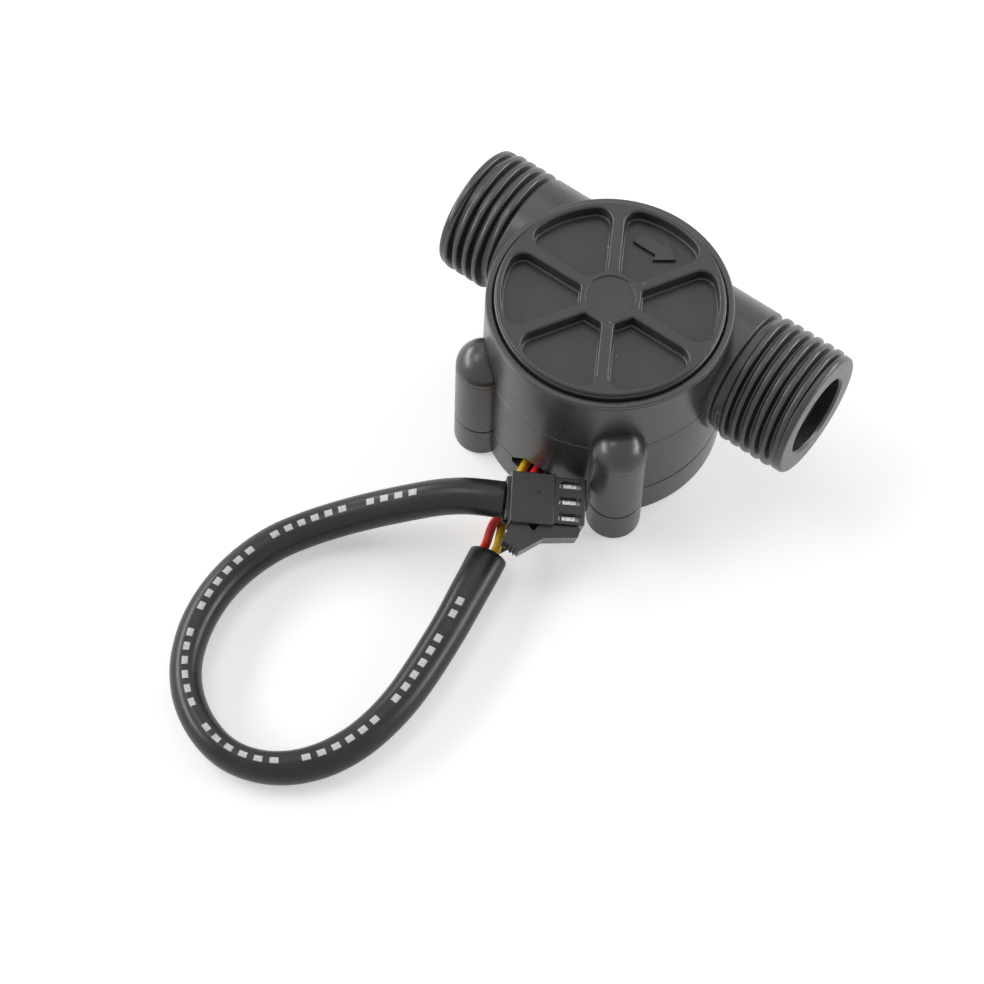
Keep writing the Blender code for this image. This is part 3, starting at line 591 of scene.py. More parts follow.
def reachAlong(line):    # how far along the line each point is
    reach = [0.0]
    for before, after in zip(line, line[1:]):
        reach.append(reach[-1] + (after - before).length)
    return reach


curveSteps = 24
lipMiddle = 0.3    # how far in a lip's middle point stays, in shares of the lip


def smoothLine(points, spacing):    # a smooth curve through the points, cut into even steps
    points = [Vector(point) for point in points]
    padded = [points[0] * 2 - points[1]] + points + [points[-1] * 2 - points[-2]]
    line = []
    for index in range(1, len(padded) - 2):
        before, start, end, after = padded[index - 1:index + 3]
        for step in range(curveSteps):
            share = step / curveSteps
            line.append(0.5 * (2 * start + (end - before) * share
                               + (2 * before - 5 * start + 4 * end - after) * share * share
                               + (3 * start - before - 3 * end + after) * share ** 3))
    line.append(points[-1].copy())
    reach = reachAlong(line)
    count = max(2, round(reach[-1] / spacing))
    even, at = [], 0
    for step in range(count + 1):
        goal = reach[-1] * step / count
        while at < len(reach) - 2 and reach[at + 1] < goal:
            at += 1
        span = reach[at + 1] - reach[at]
        even.append(line[at].lerp(line[at + 1], (goal - reach[at]) / span if span else 0.0))
    return even


def skinOver(name, rows):    # a closed skin over rings of points
    mesh = bmesh.new()
    made = [[mesh.verts.new(place) for place in row] for row in rows]
    for first, second in zip(made, made[1:]):
        for side in range(len(first)):
            after = (side + 1) % len(first)
            mesh.faces.new((first[side], first[after], second[after], second[side]))
    mesh.faces.new(made[0][::-1])
    mesh.faces.new(made[-1])
    bmesh.ops.recalc_face_normals(mesh, faces=mesh.faces[:])
    piece = bpy.data.objects.new(name, bpy.data.meshes.new(name))
    mesh.to_mesh(piece.data)
    mesh.free()
    bpy.context.scene.collection.objects.link(piece)
    return piece


# a hose along a route in millimetres; mouths are the depths of its hollow ends, and squeeze(share of the
# length) gives the factors of its level and upright half widths
def tube(name, route, radius, spacing, sides, lip, wall=0.0, mouths=(0.0, 0.0), squeeze=None):
    line = [point * mm for point in smoothLine(route, spacing)]
    total = len(line) - 1
    stations = []
    for index, centre in enumerate(line):
        heading = (line[min(index + 1, total)] - line[max(index - 1, 0)]).normalized()
        level = heading.cross(Vector((0, 0, 1))).normalized()
        factors = squeeze(index / total) if squeeze else (1.0, 1.0)
        stations.append((centre, heading, level, level.cross(heading), factors))

    def ring(station, size, shift=0.0):
        centre, heading, level, upright, factors = station
        return [centre + heading * shift * mm
                + level * math.cos(2 * math.pi * side / sides) * size * factors[0] * mm
                + upright * math.sin(2 * math.pi * side / sides) * size * factors[1] * mm
                for side in range(sides)]

    def mouth(depth):    # radii and depths, from inside the mouth over its rounded lip
        inner, middle = radius - wall, lip * lipMiddle
        inside = [(inner, depth), (inner, lip), (inner + middle, middle), (inner + lip, 0.0)]
        outside = [(radius - lip, 0.0), (radius - middle, middle), (radius, lip)]
        return inside + outside if depth else outside

    rows = [ring(stations[0], size, shift) for size, shift in mouth(mouths[0])]
    rows += [ring(station, radius) for station in stations[1:-1]]
    rows += [ring(stations[-1], size, -shift) for size, shift in reversed(mouth(mouths[1]))]
    piece = skinOver(name, rows)
    along = piece.data.attributes.new("along", "FLOAT", "POINT")
    around = piece.data.attributes.new("around", "FLOAT", "POINT")
    reach = reachAlong(line)
    for row in range(len(rows)):
        station = min(max(row - (len(rows) - len(stations)) // 2, 0), total)
        for side in range(sides):
            along.data[row * sides + side].value = reach[station] / mm
            around.data[row * sides + side].value = side / sides
    smoothShade(piece, angle=40, weighted=False)
    return piece, [tuple(point) for point in line]


# mouths: hollow where the wires go in, and behind the connector
# squeeze: shares of the length with the level half width's factor, flattest where the loop turns tightest
sleeveLook = {"radius": 2.8, "spacing": 0.9, "sides": 48, "lip": 0.12, "wall": 0.75, "mouths": (6.0, 2.0),
              "squeeze": [(0.0, 1.08), (0.12, 1.02), (0.28, 0.95), (0.42, 0.84), (0.52, 0.86), (0.62, 0.92),
                          (0.75, 0.98), (0.9, 1.0), (1.0, 1.0)]}
sleeveRoute = [(2.3, -32.9, 2.85), (3.0, -36.4, 2.85), (3.8, -40.7, 2.85), (4.7, -45.5, 2.85),
               (5.4, -50.3, 2.85), (6.0, -55.4, 2.85), (6.3, -60.4, 2.85), (6.0, -65.4, 2.85),
               (5.0, -70.2, 2.85), (2.9, -74.9, 2.85), (-0.3, -78.8, 2.85), (-4.4, -81.4, 2.85),
               (-9.2, -82.4, 2.85), (-14.2, -81.4, 2.85), (-18.8, -78.9, 2.85), (-22.4, -75.3, 2.85),
               (-24.9, -70.8, 2.85), (-26.4, -65.8, 2.85), (-26.9, -60.6, 2.85), (-26.4, -55.4, 2.85),
               (-25.0, -50.4, 2.85), (-22.7, -46.0, 3.0), (-19.6, -42.0, 3.9), (-15.8, -38.3, 5.5),
               (-11.6, -35.0, 7.6), (-7.6, -32.2, 9.6), (-4.4, -30.35, 10.8), (-1.6, -28.95, 11.35),
               (1.42, -27.47, 11.63)]


def sleeveSqueeze(share):
    widths = sleeveLook["squeeze"]
    for (start, first), (end, second) in zip(widths, widths[1:]):
        if share <= end:
            blend = (share - start) / (end - start)
            level = first + (second - first) * blend * blend * (3 - 2 * blend)
            return level, min(1.0, 2.0 - level)
    return 1.0, 1.0


sleeve, sleevePath = tube("cable_sleeve_skin", sleeveRoute, sleeveLook["radius"], sleeveLook["spacing"],
                          sleeveLook["sides"], sleeveLook["lip"], sleeveLook["wall"], sleeveLook["mouths"],
                          sleeveSqueeze)
finish(sleeve, "cable_sleeve_skin", sleeveVinyl, "sleeve_vinyl", "cable_sleeve")

# the connector's own frame: along it, across its pins, out of its wide face
plugPose = {"place": (6.35, -23.97, 10.92), "heading": 34.8, "tilt": 15.0, "pitch": -6.2}
plugPlace = Vector(plugPose["place"])
plugHeading, plugTilt, plugPitch = (math.radians(plugPose[angle]) for angle in ("heading", "tilt", "pitch"))
plugAlong = Vector((math.cos(plugHeading) * math.cos(plugPitch), math.sin(plugHeading) * math.cos(plugPitch),
                    math.sin(plugPitch)))
plugLevel = Vector((-math.sin(plugHeading), math.cos(plugHeading), 0))
plugAcross = plugLevel * math.cos(plugTilt) + plugAlong.cross(plugLevel) * math.sin(plugTilt)
plugTurn = Matrix((plugAlong, plugAcross, plugAlong.cross(plugAcross))).transposed().to_4x4()
pinPlaces = {"black": -2.5, "yellow": 0.0, "red": 2.5}


def inPlug(x, y):
    return plugPlace + plugTurn.to_3x3() @ Vector((x, y, 0))


def setInPlug(piece):
    piece.matrix_world = Matrix.Translation(plugPlace * mm) @ plugTurn
    applyPlace(piece)


# seat: where the wire enters the sleeve, sideways and up from its centre
leads = {"yellow": {"seat": (0.75, 0.8), "route": [(-2.2, -8.0, 6.6), (-2.1, -13.7, 6.5), (-1.4, -19.3, 6.15),
                                                   (-1.0, -21.4, 5.2), (-0.2, -24.8, 4.2), (0.8, -27.2, 3.9),
                                                   (1.7, -28.9, 3.85)]},
         "red": {"seat": (-1.15, 0.35), "route": [(0, -8.0, 6.6), (0.1, -13.7, 6.5), (0.5, -19.3, 6.2),
                                                  (0.8, -22.2, 6.0), (0.65, -25.2, 5.9), (0.35, -27.2, 5.3),
                                                  (0.15, -28.9, 4.5)]},
         "black": {"seat": (0.45, -1.0), "route": [(2.2, -8.0, 6.6), (2.2, -13.7, 6.6), (2.3, -19.7, 6.4),
                                                   (2.6, -22.8, 5.7), (3.1, -26.0, 4.4), (3.4, -29.3, 3.0)]}}
# entry, leadIn and sunk are steps along the sleeve's own line at its mouth
wireLook = {"radius": 0.7, "spacing": 0.35, "sides": 24, "lip": 0.05,
            "entry": 0.3, "leadIn": 1.5, "sunk": 4.5}
# from the sleeve's end into the connector: how far back, and the share of the pin's offset
tailRoute = ((-8.6, 0.5), (-7.1, 0.6), (-6.0, 0.8), (-4.85, 1.0), (-1.8, 1.0))


def addWire(name, colour, places, replaced):
    wire = tube(name, places, *(wireLook[key] for key in ("radius", "spacing", "sides", "lip")))[0]
    return finish(wire, name, insulation[colour], "wire_" + colour, replaced)


def leadPlaces(lead):
    look = wireLook
    start = Vector(sleeveRoute[0])
    heading = (start - Vector(sleeveRoute[1])).normalized()
    across = Vector((heading.y, -heading.x, 0))
    side, up = lead["seat"]
    mouth = start + heading * look["entry"] + across * side + Vector((0, 0, up))
    return [Vector(place) for place in lead["route"]] + [mouth + heading * look["leadIn"], mouth,
                                                         mouth - heading * look["sunk"]]


wirePieces = [addWire("lead_" + colour, colour, leadPlaces(lead), "wire_" + colour)
              for colour, lead in leads.items()]
wirePieces += [addWire("tail_" + colour, colour, [inPlug(x, share * offset) for x, share in tailRoute],
                       "wire_%s_tail" % colour) for colour, offset in pinPlaces.items()]
print("sleeve and wires laid")


# Body: drum, pipe with its threads, screw columns, chamber

# columnParting is a share of partingDepth; past and below are where cutters end, outside the piece
bodySize = {"drumRadius": 18.6, "drumFoot": 18.8, "footEdge": 0.15, "drumLow": 6.8, "drumTop": 31.4,
            "rimEdge": 0.4, "rimGroove": 30.75, "grooveDepth": 0.15, "grooveBelow": 0.16, "grooveAbove": 0.12,
            "partingHeight": 19.55, "partingDepth": 0.10, "columnParting": 0.7, "partingWidth": 0.22,
            "pipeCornerSteps": 4, "pipeY": 8.5, "pipeZ": 19.55, "inlet": -30.7, "outlet": 32.8,
            "neckRadius": 10.2, "neckStep": 0.25, "neckEdge": 0.2, "rootEdge": 0.12, "collarRadius": 10.0,
            "collarFlare": 0.08, "collarLength": 1.1, "collarEdge": 0.3, "faceEdge": 0.5, "boreRadius": 5.6,
            "mouthRadius": 6.35, "mouthDepth": 2.5, "mouthSlope": 0.1, "mouthEdge": 0.2, "bevelDepth": 0.35,
            "bevelOut": 1.35, "columnX": 12.58, "columnY": -14.37, "columnRadius": 4.2, "domeTurn": 84,
            "domeSteps": 12, "pilotRadius": 1.6, "pilotTop": 16.5, "recessRadius": 16.8, "recessEdge": 0.2,
            "recessTop": 9.6, "past": 1, "below": 6}
# profile is one side of a thread's crest: steps along the pipe from its middle, and radii
# fades are the turns over which the ridge runs out, at the pipe's end and at the neck
threadSize = {"pitch": 1.814, "root": 9.25, "sunk": 8.85, "inletTurns": 4.6, "outletTurns": 6.6,
              "fromFace": 0.55, "inletRelief": 0.45, "outletRelief": 0.3, "perTurn": 88, "startAngle": 3.5,
              "startFade": 0.5, "endFade": 0.3, "fadeStep": 6, "fadeWidth": 0.3, "weld": 1e-7,
              "profile": [(0.0, 10.30), (0.22, 10.29), (0.34, 10.25), (0.43, 10.15), (0.50, 9.98),
                          (0.58, 9.72), (0.66, 9.46), (0.74, 9.31), (0.83, 9.22), (0.83, 8.80)]}
inletNeck = (bodySize["inlet"] + threadSize["fromFace"] + threadSize["pitch"] * threadSize["inletTurns"]
             + threadSize["inletRelief"])
outletNeck = (bodySize["outlet"] - threadSize["fromFace"] - threadSize["pitch"] * threadSize["outletTurns"]
              - threadSize["outletRelief"])
chamberSize = {"radius": 15.0, "floor": 11.6, "floorEdge": 0.3, "seatHeight": 28.4, "seatRadius": 17.4,
               "shaftRadius": 1.5, "shaftLow": 10.4, "padRadius": 3.5, "padTop": 12.4, "padEdge": 0.2,
               "rimLow": 31.05, "rimArc": [(17.48, 31.22), (17.62, 31.36), (17.80, 31.42)], "above": 32.5}
# sides of the round forms; an odd number keeps the head holes' corners off those of the columns
facets = {"drum": 224, "pipe": 160, "recess": 160, "bore": 128, "column": 96, "head": 97, "pilot": 32,
          "post": 24, "groove": 16}
# inner and outer are how far from the drum's axis the slot is cut
slotSize = {"half": 3.9, "low": 5.35, "top": 9.3, "topEdge": 0.6, "cornerX": -1.3, "cornerEdge": 0.8,
            "sideZ": 6.6, "sideEdge": 0.5, "inner": 13, "outer": 21, "coverTop": 9.6, "coverEdge": 0.4,
            "cornerSteps": 4}


# the ridge's end face is carried on round the pipe, lower and narrower at each step
def runOut(piece, atStart, middleX, share):
    thread = threadSize
    way = -1 if atStart else 1
    count = round(share * 360 / thread["fadeStep"])

    def widthLeft(left):
        return thread["fadeWidth"] + (1 - thread["fadeWidth"]) * left / count

    for step in range(count):
        pick(piece, "FACE", lambda face: len(face.verts) > 4
             and (face.calc_center_median().x < middleX) == atStart)
        mesh = bmesh.from_edit_mesh(piece.data)
        middle = [face for face in mesh.faces if face.select][0].calc_center_median()
        around = Vector((0, middle.y, middle.z)).normalized() * thread["sunk"] * mm
        foot = Vector((middle.x, around.y, around.z))
        before, after = count - step + 0.5, count - step - 0.5
        onward = way * thread["pitch"] * thread["fadeStep"] / 360 * mm
        width, height = widthLeft(after) / widthLeft(before), after / before
        bpy.ops.mesh.extrude_region_move(TRANSFORM_OT_translate={"value": (onward, 0, 0)})
        bpy.ops.transform.resize(value=(width, height, height), center_override=foot)
        bpy.ops.transform.rotate(value=-way * math.radians(thread["fadeStep"]), orient_axis="X",
                                 center_override=(0, 0, 0))
        objectMode()


def addThread(name, face, turns, side):    # one crest carried round the pipe, run out at both ends
    thread = threadSize
    crest = thread["profile"] + [(-x, radius) for x, radius in thread["profile"][:0:-1]]
    piece = drawOutline(name, crest + crest[:1])
    editMesh(piece)
    bpy.ops.mesh.remove_doubles(threshold=thread["weld"])
    bpy.ops.transform.translate(value=(thread["startFade"] * thread["pitch"] * mm, 0, 0))
    startTurn = math.radians(thread["startAngle"] - 90 + 360 * thread["startFade"])
    bpy.ops.transform.rotate(value=-startTurn, orient_axis="X", center_override=(0, 0, 0))
    objectMode()
    full = turns - thread["startFade"] - thread["endFade"]
    screw = piece.modifiers.new("thread", "SCREW")
    screw.axis = "X"
    screw.angle = 2 * math.pi * full
    screw.screw_offset = thread["pitch"] * full * mm
    screw.steps = screw.render_steps = round(thread["perTurn"] * full)
    screw.iterations = 1
    applyModifiers(piece)
    editMesh(piece)
    bpy.ops.mesh.remove_doubles(threshold=thread["weld"])
    bpy.ops.mesh.select_all(action="DESELECT")
    bpy.ops.mesh.select_non_manifold()
    bpy.ops.mesh.fill_holes(sides=0)
    objectMode()
    middleX = (thread["startFade"] + full / 2) * thread["pitch"] * mm
    runOut(piece, True, middleX, thread["startFade"])
    runOut(piece, False, middleX, thread["endFade"])
    piece.location = ((face + side * thread["fromFace"]) * mm, bodySize["pipeY"] * mm, bodySize["pipeZ"] * mm)
    if side < 0:
        piece.rotation_euler = (0, math.pi, 0)
    applyPlace(piece)
    cleanNormals(piece)
    return piece


def onPipe(name, start, end, sides, corners=5):    # two mirrored ends, spun about the pipe's axis
    return lathe(name, start + end[::-1], sides, (bodySize["pipeY"], bodySize["pipeZ"]), "X", corners)


def pipeEnd(face, neck, way):
    size, root = bodySize, threadSize["root"]
    collar = face + way * size["collarLength"]
    slope = way * (size["collarRadius"] - root)
    return [(0, face), (size["collarRadius"], face, size["faceEdge"]),
            (size["collarRadius"] + size["collarFlare"], collar, size["collarEdge"]),
            (root, collar + slope / 2, size["collarEdge"]), (root, neck, size["rootEdge"]),
            (size["neckRadius"], neck + way * size["neckStep"], size["neckEdge"])]


def boreEnd(face, way):
    size = bodySize
    before = face - way * size["past"]
    inner = face + way * size["mouthDepth"]
    return [(0, before), (size["mouthRadius"] + size["bevelOut"], before),
            (size["mouthRadius"], face + way * size["bevelDepth"], size["mouthEdge"]),
            (size["mouthRadius"], inner),
            (size["boreRadius"], inner + way * size["mouthSlope"], size["mouthSlope"])]


def drumForm():
    size = bodySize
    part, partHalf = size["partingHeight"], size["partingWidth"] / 2

    def wallAt(height):    # the wall leans in by the mould's draft
        share = (height - size["drumLow"]) / (size["drumTop"] - size["drumLow"])
        return size["drumFoot"] + (size["drumRadius"] - size["drumFoot"]) * share

    partWall, grooveWall = wallAt(part), wallAt(size["rimGroove"])
    return lathe("body_form", [
        (0, size["drumLow"]), (size["drumFoot"], size["drumLow"], size["footEdge"]),
        (partWall, part - partHalf), (partWall - size["partingDepth"], part), (partWall, part + partHalf),
        (grooveWall, size["rimGroove"] - size["grooveBelow"]),
        (grooveWall - size["grooveDepth"], size["rimGroove"]),
        (grooveWall, size["rimGroove"] + size["grooveAbove"]),
        (size["drumRadius"], size["drumTop"], size["rimEdge"]), (0, size["drumTop"])], facets["drum"])


def columnForm(place):    # a screw column with its parting line and dome
    size, radius = bodySize, bodySize["columnRadius"]
    part, partHalf = size["partingHeight"], size["partingWidth"] / 2
    shaft = [(0, size["drumLow"]), (radius, size["drumLow"], size["footEdge"]), (radius, part - partHalf),
             (radius - size["partingDepth"] * size["columnParting"], part)]
    dome = circlePoints((0, part + partHalf), radius, 0, size["domeTurn"], size["domeSteps"])
    return lathe("column", shaft + dome + [(0, part + partHalf + radius)], facets["column"], place)


def chamberForm():    # wheel chamber, shaft hole with its raised pad, and the lid's seat
    size = chamberSize
    return lathe("chamber", [
        (0, size["shaftLow"]), (size["shaftRadius"], size["shaftLow"]), (size["shaftRadius"], size["padTop"]),
        (size["padRadius"], size["padTop"], size["padEdge"]),
        (size["padRadius"], size["floor"], size["padEdge"]),
        (size["radius"], size["floor"], size["floorEdge"]), (size["radius"], size["seatHeight"]),
        (size["seatRadius"], size["seatHeight"]), (size["seatRadius"], size["rimLow"])] + size["rimArc"]
        + [(size["rimArc"][-1][0], size["above"]), (0, size["above"])], facets["drum"])


def slotForm():    # the wire slot, with one low corner
    size = slotSize
    outline = [(-size["half"], size["low"]), (size["half"], size["low"]),
               (size["half"], size["top"], size["topEdge"]),
               (size["cornerX"], size["top"], size["cornerEdge"]),
               (-size["half"], size["sideZ"], size["sideEdge"])]
    slot = prism("wire_slot", rounded(outline, size["cornerSteps"]), size["inner"], size["outer"])
    slot.rotation_euler = (math.pi / 2, 0, 0)
    applyPlace(slot)
    return slot


def peg(name, radius, low, high, sides, place=(0, 0), edge=0):
    return lathe(name, [(0, low), (radius, low), (radius, high, edge), (0, high)], sides, place)


columnPlaces = [(side * bodySize["columnX"], bodySize["columnY"]) for side in (-1, 1)]


def addBody():
    size, thread = bodySize, threadSize
    body = drumForm()
    join(body, onPipe("pipe", pipeEnd(size["inlet"], inletNeck, 1), pipeEnd(size["outlet"], outletNeck, -1),
                      facets["pipe"], size["pipeCornerSteps"]))
    join(body, addThread("inlet_thread", size["inlet"], thread["inletTurns"], 1))
    join(body, addThread("outlet_thread", size["outlet"], thread["outletTurns"], -1))
    print("body: drum, pipe and threads joined")
    for place in columnPlaces:
        join(body, columnForm(place))
    bore = onPipe("bore", boreEnd(size["inlet"], 1), boreEnd(size["outlet"], -1), facets["bore"])
    cut(body, chamberForm(), bore, peg("recess", size["recessRadius"], size["below"], size["recessTop"],
                                       facets["recess"], edge=size["recessEdge"]))
    for place in columnPlaces:
        cut(body, peg("pilot", size["pilotRadius"], size["below"], size["pilotTop"], facets["pilot"], place))
    cut(body, slotForm())
    print("body: chamber, bore and holes cut,", len(body.data.polygons), "faces")
    return body


creaseLook = {"neckOff": 0.02, "wallOff": 0.03, "turn": 5}


def onNeckJoint(edge):    # the line where the neck meets the drum's wall, wherever it turns enough to be seen
    size, crease = bodySize, creaseLook
    for vertex in edge.verts:
        x, y, z = vertex.co / mm
        if abs(math.hypot(y - size["pipeY"], z - size["pipeZ"]) - size["neckRadius"]) > crease["neckOff"]:
            return False
        across = math.hypot(x, y)
        if not size["drumRadius"] - crease["wallOff"] < across < size["drumFoot"] + crease["wallOff"]:
            return False
    return edge.calc_face_angle(0.0) > math.radians(crease["turn"])


body = addBody()
smoothShade(body, angle=38, crease=onNeckJoint)
finish(body, "sensor_body", bodyPlastic, "charcoal_plastic", "body")


# Lid with six pockets and a raised arrow

lidSize = {"radius": 17.3, "top": 32.6, "low": 28.7, "edge": 0.45, "ledgeLow": 31.9, "ledgeHigh": 32.05,
           "ledgeIn": 0.22, "ledgeEdge": 0.1, "plugRadius": 14.7, "plugLow": 27.9,
           "shaftRadius": 1.5, "shaftAbove": 1.2, "padRadius": 3.5, "padLow": 27.3,
           "hubMark": 3.7, "hubSlope": 0.1, "hubDepth": 0.25, "hubEdge": 0.12}
pocketSize = {"count": 6, "floor": 30.6, "radius": 16.15, "inner": 4.6, "innerEdge": 0.45, "corner": 2.2,
              "rib": 2.0, "footRound": 0.34, "topRound": 0.38, "footAngles": (0, 22, 45, 68, 90),
              "topAngles": (0, 20, 40, 60, 76), "flare": 0.4, "above": 0.15, "cornerSteps": 12,
              "arcSteps": 24, "innerSteps": 4}
# the arrow's outline is in shares of its length
arrowSize = {"length": 7.1, "place": 12.1, "height": 0.5, "edge": 0.08, "edgeSteps": 2,
             "outline": [(-0.5, -0.15), (0.08, -0.15), (0.11, -0.3), (0.5, 0.0), (0.11, 0.3), (0.08, 0.15),
                         (-0.5, 0.15)]}


def pocketOutline(middle, grow):    # sector between two ribs, with all its sides moved out by grow
    size = pocketSize
    half = math.pi / size["count"]
    halfRib = size["rib"] / 2 - grow
    inner = size["inner"] - grow
    innerHalf = inner * math.tan(half) - halfRib / math.cos(half)
    inset = size["corner"] + grow
    reach = size["radius"] + grow - inset
    offset = halfRib + inset
    turn = half - math.atan2(offset, math.sqrt(reach ** 2 - offset ** 2))
    corner = (reach * math.cos(turn), reach * math.sin(turn))
    turned = math.degrees(turn)
    upper = circlePoints(corner, inset, math.degrees(half) + 90, turned, size["cornerSteps"])
    outer = circlePoints((0, 0), size["radius"] + grow, turned, -turned, size["arcSteps"])[1:-1]
    lower = [(x, -y) for x, y in reversed(upper)]
    high, low = ((inner, y, size["innerEdge"] + grow) for y in (innerHalf, -innerHalf))
    outline = rounded([high] + upper + outer + lower + [low], size["innerSteps"])
    spin = Matrix.Rotation(math.radians(middle), 2)
    return [tuple(spin @ Vector(point)) for point in outline]


def pocketForm(middle):    # a rounded foot, and a flare that rounds the edge left at the top
    size = pocketSize
    floor, top, foot, lip = size["floor"], lidSize["top"], size["footRound"], size["topRound"]
    steps = [(-foot + foot * math.sin(turn), floor + foot - foot * math.cos(turn))
             for turn in map(math.radians, size["footAngles"])]
    steps += [(lip - lip * math.cos(turn), top - lip + lip * math.sin(turn))
              for turn in map(math.radians, size["topAngles"])]
    steps.append((lip + size["flare"], top + size["above"]))
    return loft("pocket", [(height, pocketOutline(middle, grow)) for grow, height in steps])


def arrowForm():
    size = arrowSize
    outline = [(x * size["length"], size["place"] + y * size["length"]) for x, y in size["outline"]]
    floor = pocketSize["floor"]
    arrow = prism("arrow", outline, floor - size["height"], floor + size["height"])
    editMesh(arrow)
    bpy.ops.mesh.bevel(offset=size["edge"] * mm, segments=size["edgeSteps"], affect="EDGES")
    objectMode()
    return arrow


def addLid():
    size = lidSize
    shaftTop = pocketSize["floor"] - size["shaftAbove"]
    rim = size["radius"] - size["ledgeIn"]
    lid = lathe("lid_form", [
        (0, shaftTop), (size["shaftRadius"], shaftTop), (size["shaftRadius"], size["padLow"]),
        (size["padRadius"], size["padLow"]), (size["padRadius"], size["plugLow"]),
        (size["plugRadius"], size["plugLow"]), (size["plugRadius"], size["low"]),
        (size["radius"], size["low"]), (size["radius"], size["ledgeLow"], size["ledgeEdge"]),
        (rim, size["ledgeHigh"], size["ledgeEdge"]), (rim, size["top"], size["edge"]),
        (size["hubMark"] + size["hubSlope"], size["top"], size["hubEdge"]),
        (size["hubMark"], size["top"] - size["hubDepth"], size["hubEdge"]),
        (0, size["top"] - size["hubDepth"])], facets["drum"])
    apart = 360 / pocketSize["count"]
    for index in range(pocketSize["count"]):
        cut(lid, pocketForm(apart * index + apart / 2))
    join(lid, arrowForm())
    print("lid cut,", len(lid.data.polygons), "faces")
    return lid


lid = addLid()
smoothShade(lid)
finish(lid, "ribbed_lid", lidPlastic, "charcoal_plastic", "top_lid")


# Bottom cover

coverSize = {"footRound": 0.7, "top": 6.6, "topEdge": 0.12, "spigotRadius": 16.5, "spigotTop": 8.1,
             "wallRadius": 15.2, "floor": 1.6, "floorRound": 0.4, "columnTop": 6.57,
             "postX": 8.1, "boardY": -3.0, "postReach": 4.6, "postRadius": 1.3, "postLow": 1.2,
             "postTop": 3.7, "postEdge": 0.1, "headRadius": 2.9, "headMouth": 3.15, "mouthLow": -0.02,
             "mouthTop": 0.25, "mouthEdge": 0.1, "headTop": 2.2, "screwRadius": 1.6, "past": (-1, 9)}


def postPlaces():    # two posts at each side of the circuit board
    size = coverSize
    return [(x, y) for x in (-size["postX"], size["postX"])
            for y in (size["boardY"] - size["postReach"], size["boardY"] + size["postReach"])]


def addCover():
    size, radius = coverSize, bodySize["drumFoot"]
    cover = lathe("cover_form", [
        (0, 0), (radius, 0, size["footRound"]), (radius, size["top"], size["topEdge"]),
        (size["spigotRadius"], size["top"]), (size["spigotRadius"], size["spigotTop"]),
        (size["wallRadius"], size["spigotTop"]), (size["wallRadius"], size["floor"], size["floorRound"]),
        (0, size["floor"])], facets["drum"])
    columnRadius = bodySize["columnRadius"]
    column = [(0, 0), (columnRadius, 0, size["footRound"]),
              (columnRadius, size["columnTop"], size["topEdge"]), (0, size["columnTop"])]
    for place in columnPlaces:
        join(cover, lathe("cover_column", column, facets["column"], place))
    for place in postPlaces():
        join(cover, peg("post", size["postRadius"], size["postLow"], size["postTop"], facets["post"], place,
                        size["postEdge"]))
    low, high = size["past"]
    for place in columnPlaces:
        cut(cover, lathe("head_hole", [
            (0, low), (size["headMouth"], low), (size["headMouth"], size["mouthLow"]),
            (size["headRadius"], size["mouthTop"], size["mouthEdge"]), (size["headRadius"], size["headTop"]),
            (size["screwRadius"], size["headTop"]), (size["screwRadius"], high), (0, high)],
            facets["head"], place))
    slot = slotSize
    cut(cover, block("wire_slot", (-slot["half"], -slot["outer"], slot["low"]),
                     (slot["half"], -slot["inner"], slot["coverTop"]), slot["coverEdge"]))
    print("cover cut,", len(cover.data.polygons), "faces")
    return cover


cover = addCover()
smoothShade(cover)
finish(cover, "cover_shell", bodyPlastic, "charcoal_plastic", "bottom_cover")


# Connector and its contacts, shaped in the connector's own frame

plugSize = {"half": 5.7, "wide": 3.95, "deep": 2.8, "edge": 0.22, "noseStart": 1.0, "noseInside": 1,
            "step": 0.35, "collarLength": 0.65, "collarInside": 0.3, "collarHalf": 3.3, "collarDeep": 1.9,
            "collarEdge": 0.2, "cavity": 0.95, "cavityEdge": 0.15, "windowBack": 1.65, "windowFront": 5.05,
            "windowHalf": 0.6, "windowEdge": 0.1, "markBack": (-1.9, 0.4), "markFront": (-1.2, 1.1),
            "markDepth": 0.25, "markEdge": 0.08, "past": 1}
# outlines of (along the connector, out from its side)
latchSize = {"sunk": 0.2, "half": 1.8, "corner": 0.35, "cornerSteps": 3, "notchLow": -0.9,
             "notchCorner": 0.15, "back": (-6.5, 3.0), "thumb": (-3.9, 4.5), "grooves": 5,
             "grooveRadius": 0.19, "above": 3, "notch": [(-1.9, -0.3), (-0.9, 0.0), (-1.9, 1.2), (-2.9, 0.0)]}
latchOutline = [(5.2, 0.0), (4.9, 1.6), (-0.3, 2.1), latchSize["thumb"], latchSize["back"], (-5.3, 0.0)]


def latchSide(x, out, *corner):
    return (x, latchSize["sunk"] - plugSize["wide"] - out, *corner)


def latchForm():
    size = latchSize
    side = [latchSide(x, out, size["corner"]) for x, out in latchOutline]
    latch = prism("latch", rounded(side, size["cornerSteps"]), -size["half"], size["half"])
    notch = [latchSide(x, out, size["notchCorner"]) for x, out in size["notch"]]
    cut(latch, prism("notch", rounded(notch, size["cornerSteps"]), size["notchLow"], size["above"]))
    return latch


def thumbGrooves():    # fine grooves across the latch's thumb pad
    size = latchSize
    for index in range(size["grooves"]):
        share = (index + 0.5) / size["grooves"]
        x, out = (start + (end - start) * share for start, end in zip(size["back"], size["thumb"]))
        yield peg("groove", size["grooveRadius"], -size["above"], size["above"], facets["groove"],
                  latchSide(x, out))


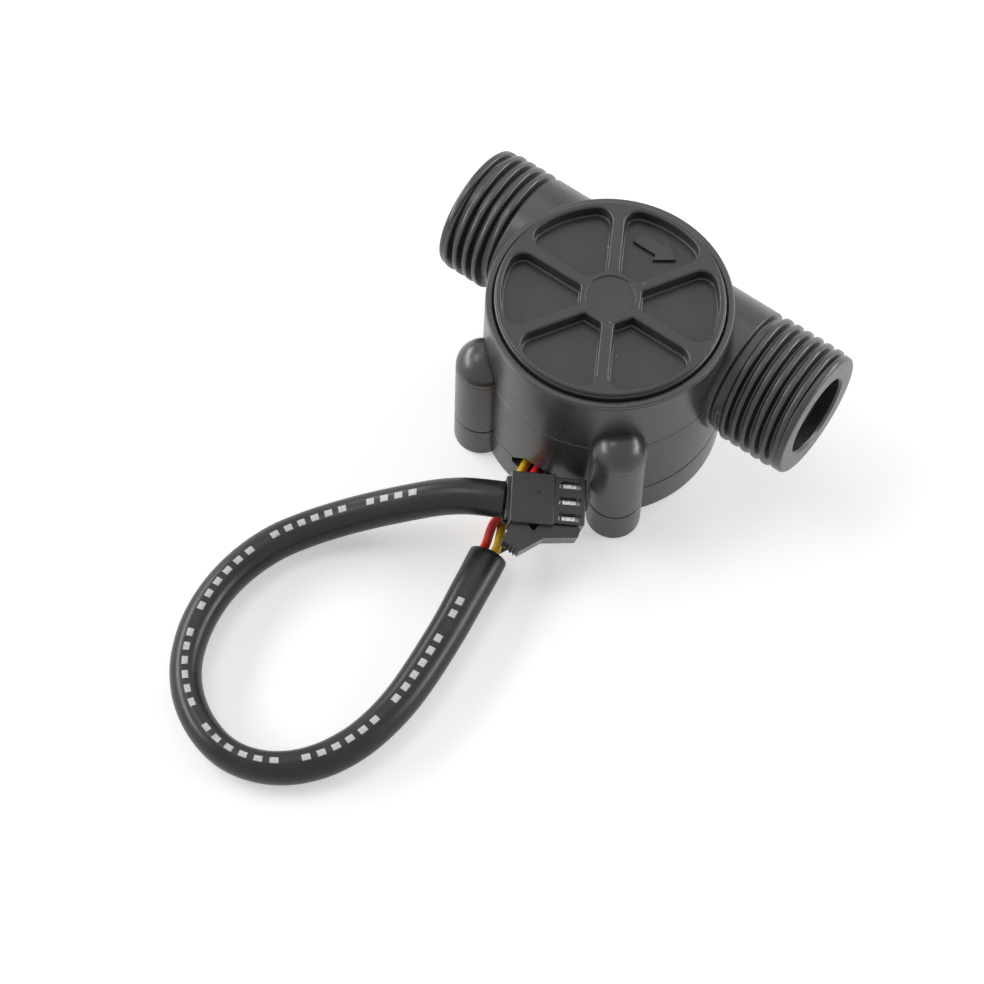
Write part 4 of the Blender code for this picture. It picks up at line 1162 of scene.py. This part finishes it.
def addPlug():
    size = plugSize
    half, wide, deep, step = size["half"], size["wide"], size["deep"], size["step"]
    plug = block("plug_form", (-half, -wide, -deep), (size["noseStart"], wide, deep), size["edge"])
    nose = block("nose", (size["noseStart"] - size["noseInside"], -wide + step, -deep + step),
                 (half, wide - step, deep - step), size["edge"])
    collar = block("rear_collar", (-half - size["collarLength"], -size["collarHalf"], -size["collarDeep"]),
                   (-half + size["collarInside"], size["collarHalf"], size["collarDeep"]), size["collarEdge"])
    join(plug, nose, latchForm(), collar)
    for offset in pinPlaces.values():
        cut(plug, block("tunnel", (-half - size["past"], offset - size["cavity"], -size["cavity"]),
                        (half + size["past"], offset + size["cavity"], size["cavity"]), size["cavityEdge"]))
        cut(plug, block("window", (size["windowBack"], offset - size["windowHalf"], 0),
                        (size["windowFront"], offset + size["windowHalf"], deep + size["past"]),
                        size["windowEdge"]))
    cut(plug, *thumbGrooves())
    # small moulding mark beside the step
    cut(plug, block("mould_mark", (*size["markBack"], deep - size["markDepth"]),
                    (*size["markFront"], deep + size["past"]), size["markEdge"]))
    setInPlug(plug)
    return plug


# along the connector, half width, through its thickness, rounding; dimples stand at dimplePlaces
contactSize = {"contact_form": {"along": (1.0, 5.2), "half": 0.625, "up": (-0.625, 0.625), "edge": 0.12},
               "barrel": {"along": (-1.2, 1.5), "half": 0.45, "up": (-0.45, 0.45), "edge": 0.12},
               "slit": {"along": (2.1, 4.4), "half": 0.28, "up": (0.35, 1.0), "edge": 0.05},
               "tongue": {"along": (2.2, 4.5), "half": 0.42, "up": (0.3, 1.45), "edge": 0.16},
               "dimple": {"along": (-0.25, 0.25), "half": 0.2, "up": (1.2, 2.0), "edge": 0.06}}
dimplePlaces = (2.8, 3.8)


def contactBlock(name, offset, place=0):
    size = contactSize[name]
    (back, front), (low, high) = size["along"], size["up"]
    half = size["half"]
    return block(name, (place + back, offset - half, low), (place + front, offset + half, high), size["edge"])


def addContact(offset):    # crimp barrel, box with a slit, and a sprung tongue with two dimples
    contact = contactBlock("contact_form", offset)
    join(contact, contactBlock("barrel", offset))
    cut(contact, contactBlock("slit", offset))
    join(contact, contactBlock("tongue", offset))
    for place in dimplePlaces:
        cut(contact, contactBlock("dimple", offset, place))
    setInPlug(contact)
    return contact


plug = addPlug()
smoothShade(plug)
finish(plug, "latch_plug", plugNylon, "plug_nylon", "connector_housing")
contactPieces = []
for colour, offset in pinPlaces.items():
    contact = addContact(offset)
    smoothShade(contact)
    contactPieces.append(finish(contact, "crimp_" + colour, tinnedMetal, "tinned_metal", "contact_" + colour))
print("plug and contacts shaped")

sleeveLength = reachAlong([Vector(point) for point in sleevePath])[-1]
[plug] + wirePieces + contactPieces
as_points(sleevePath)
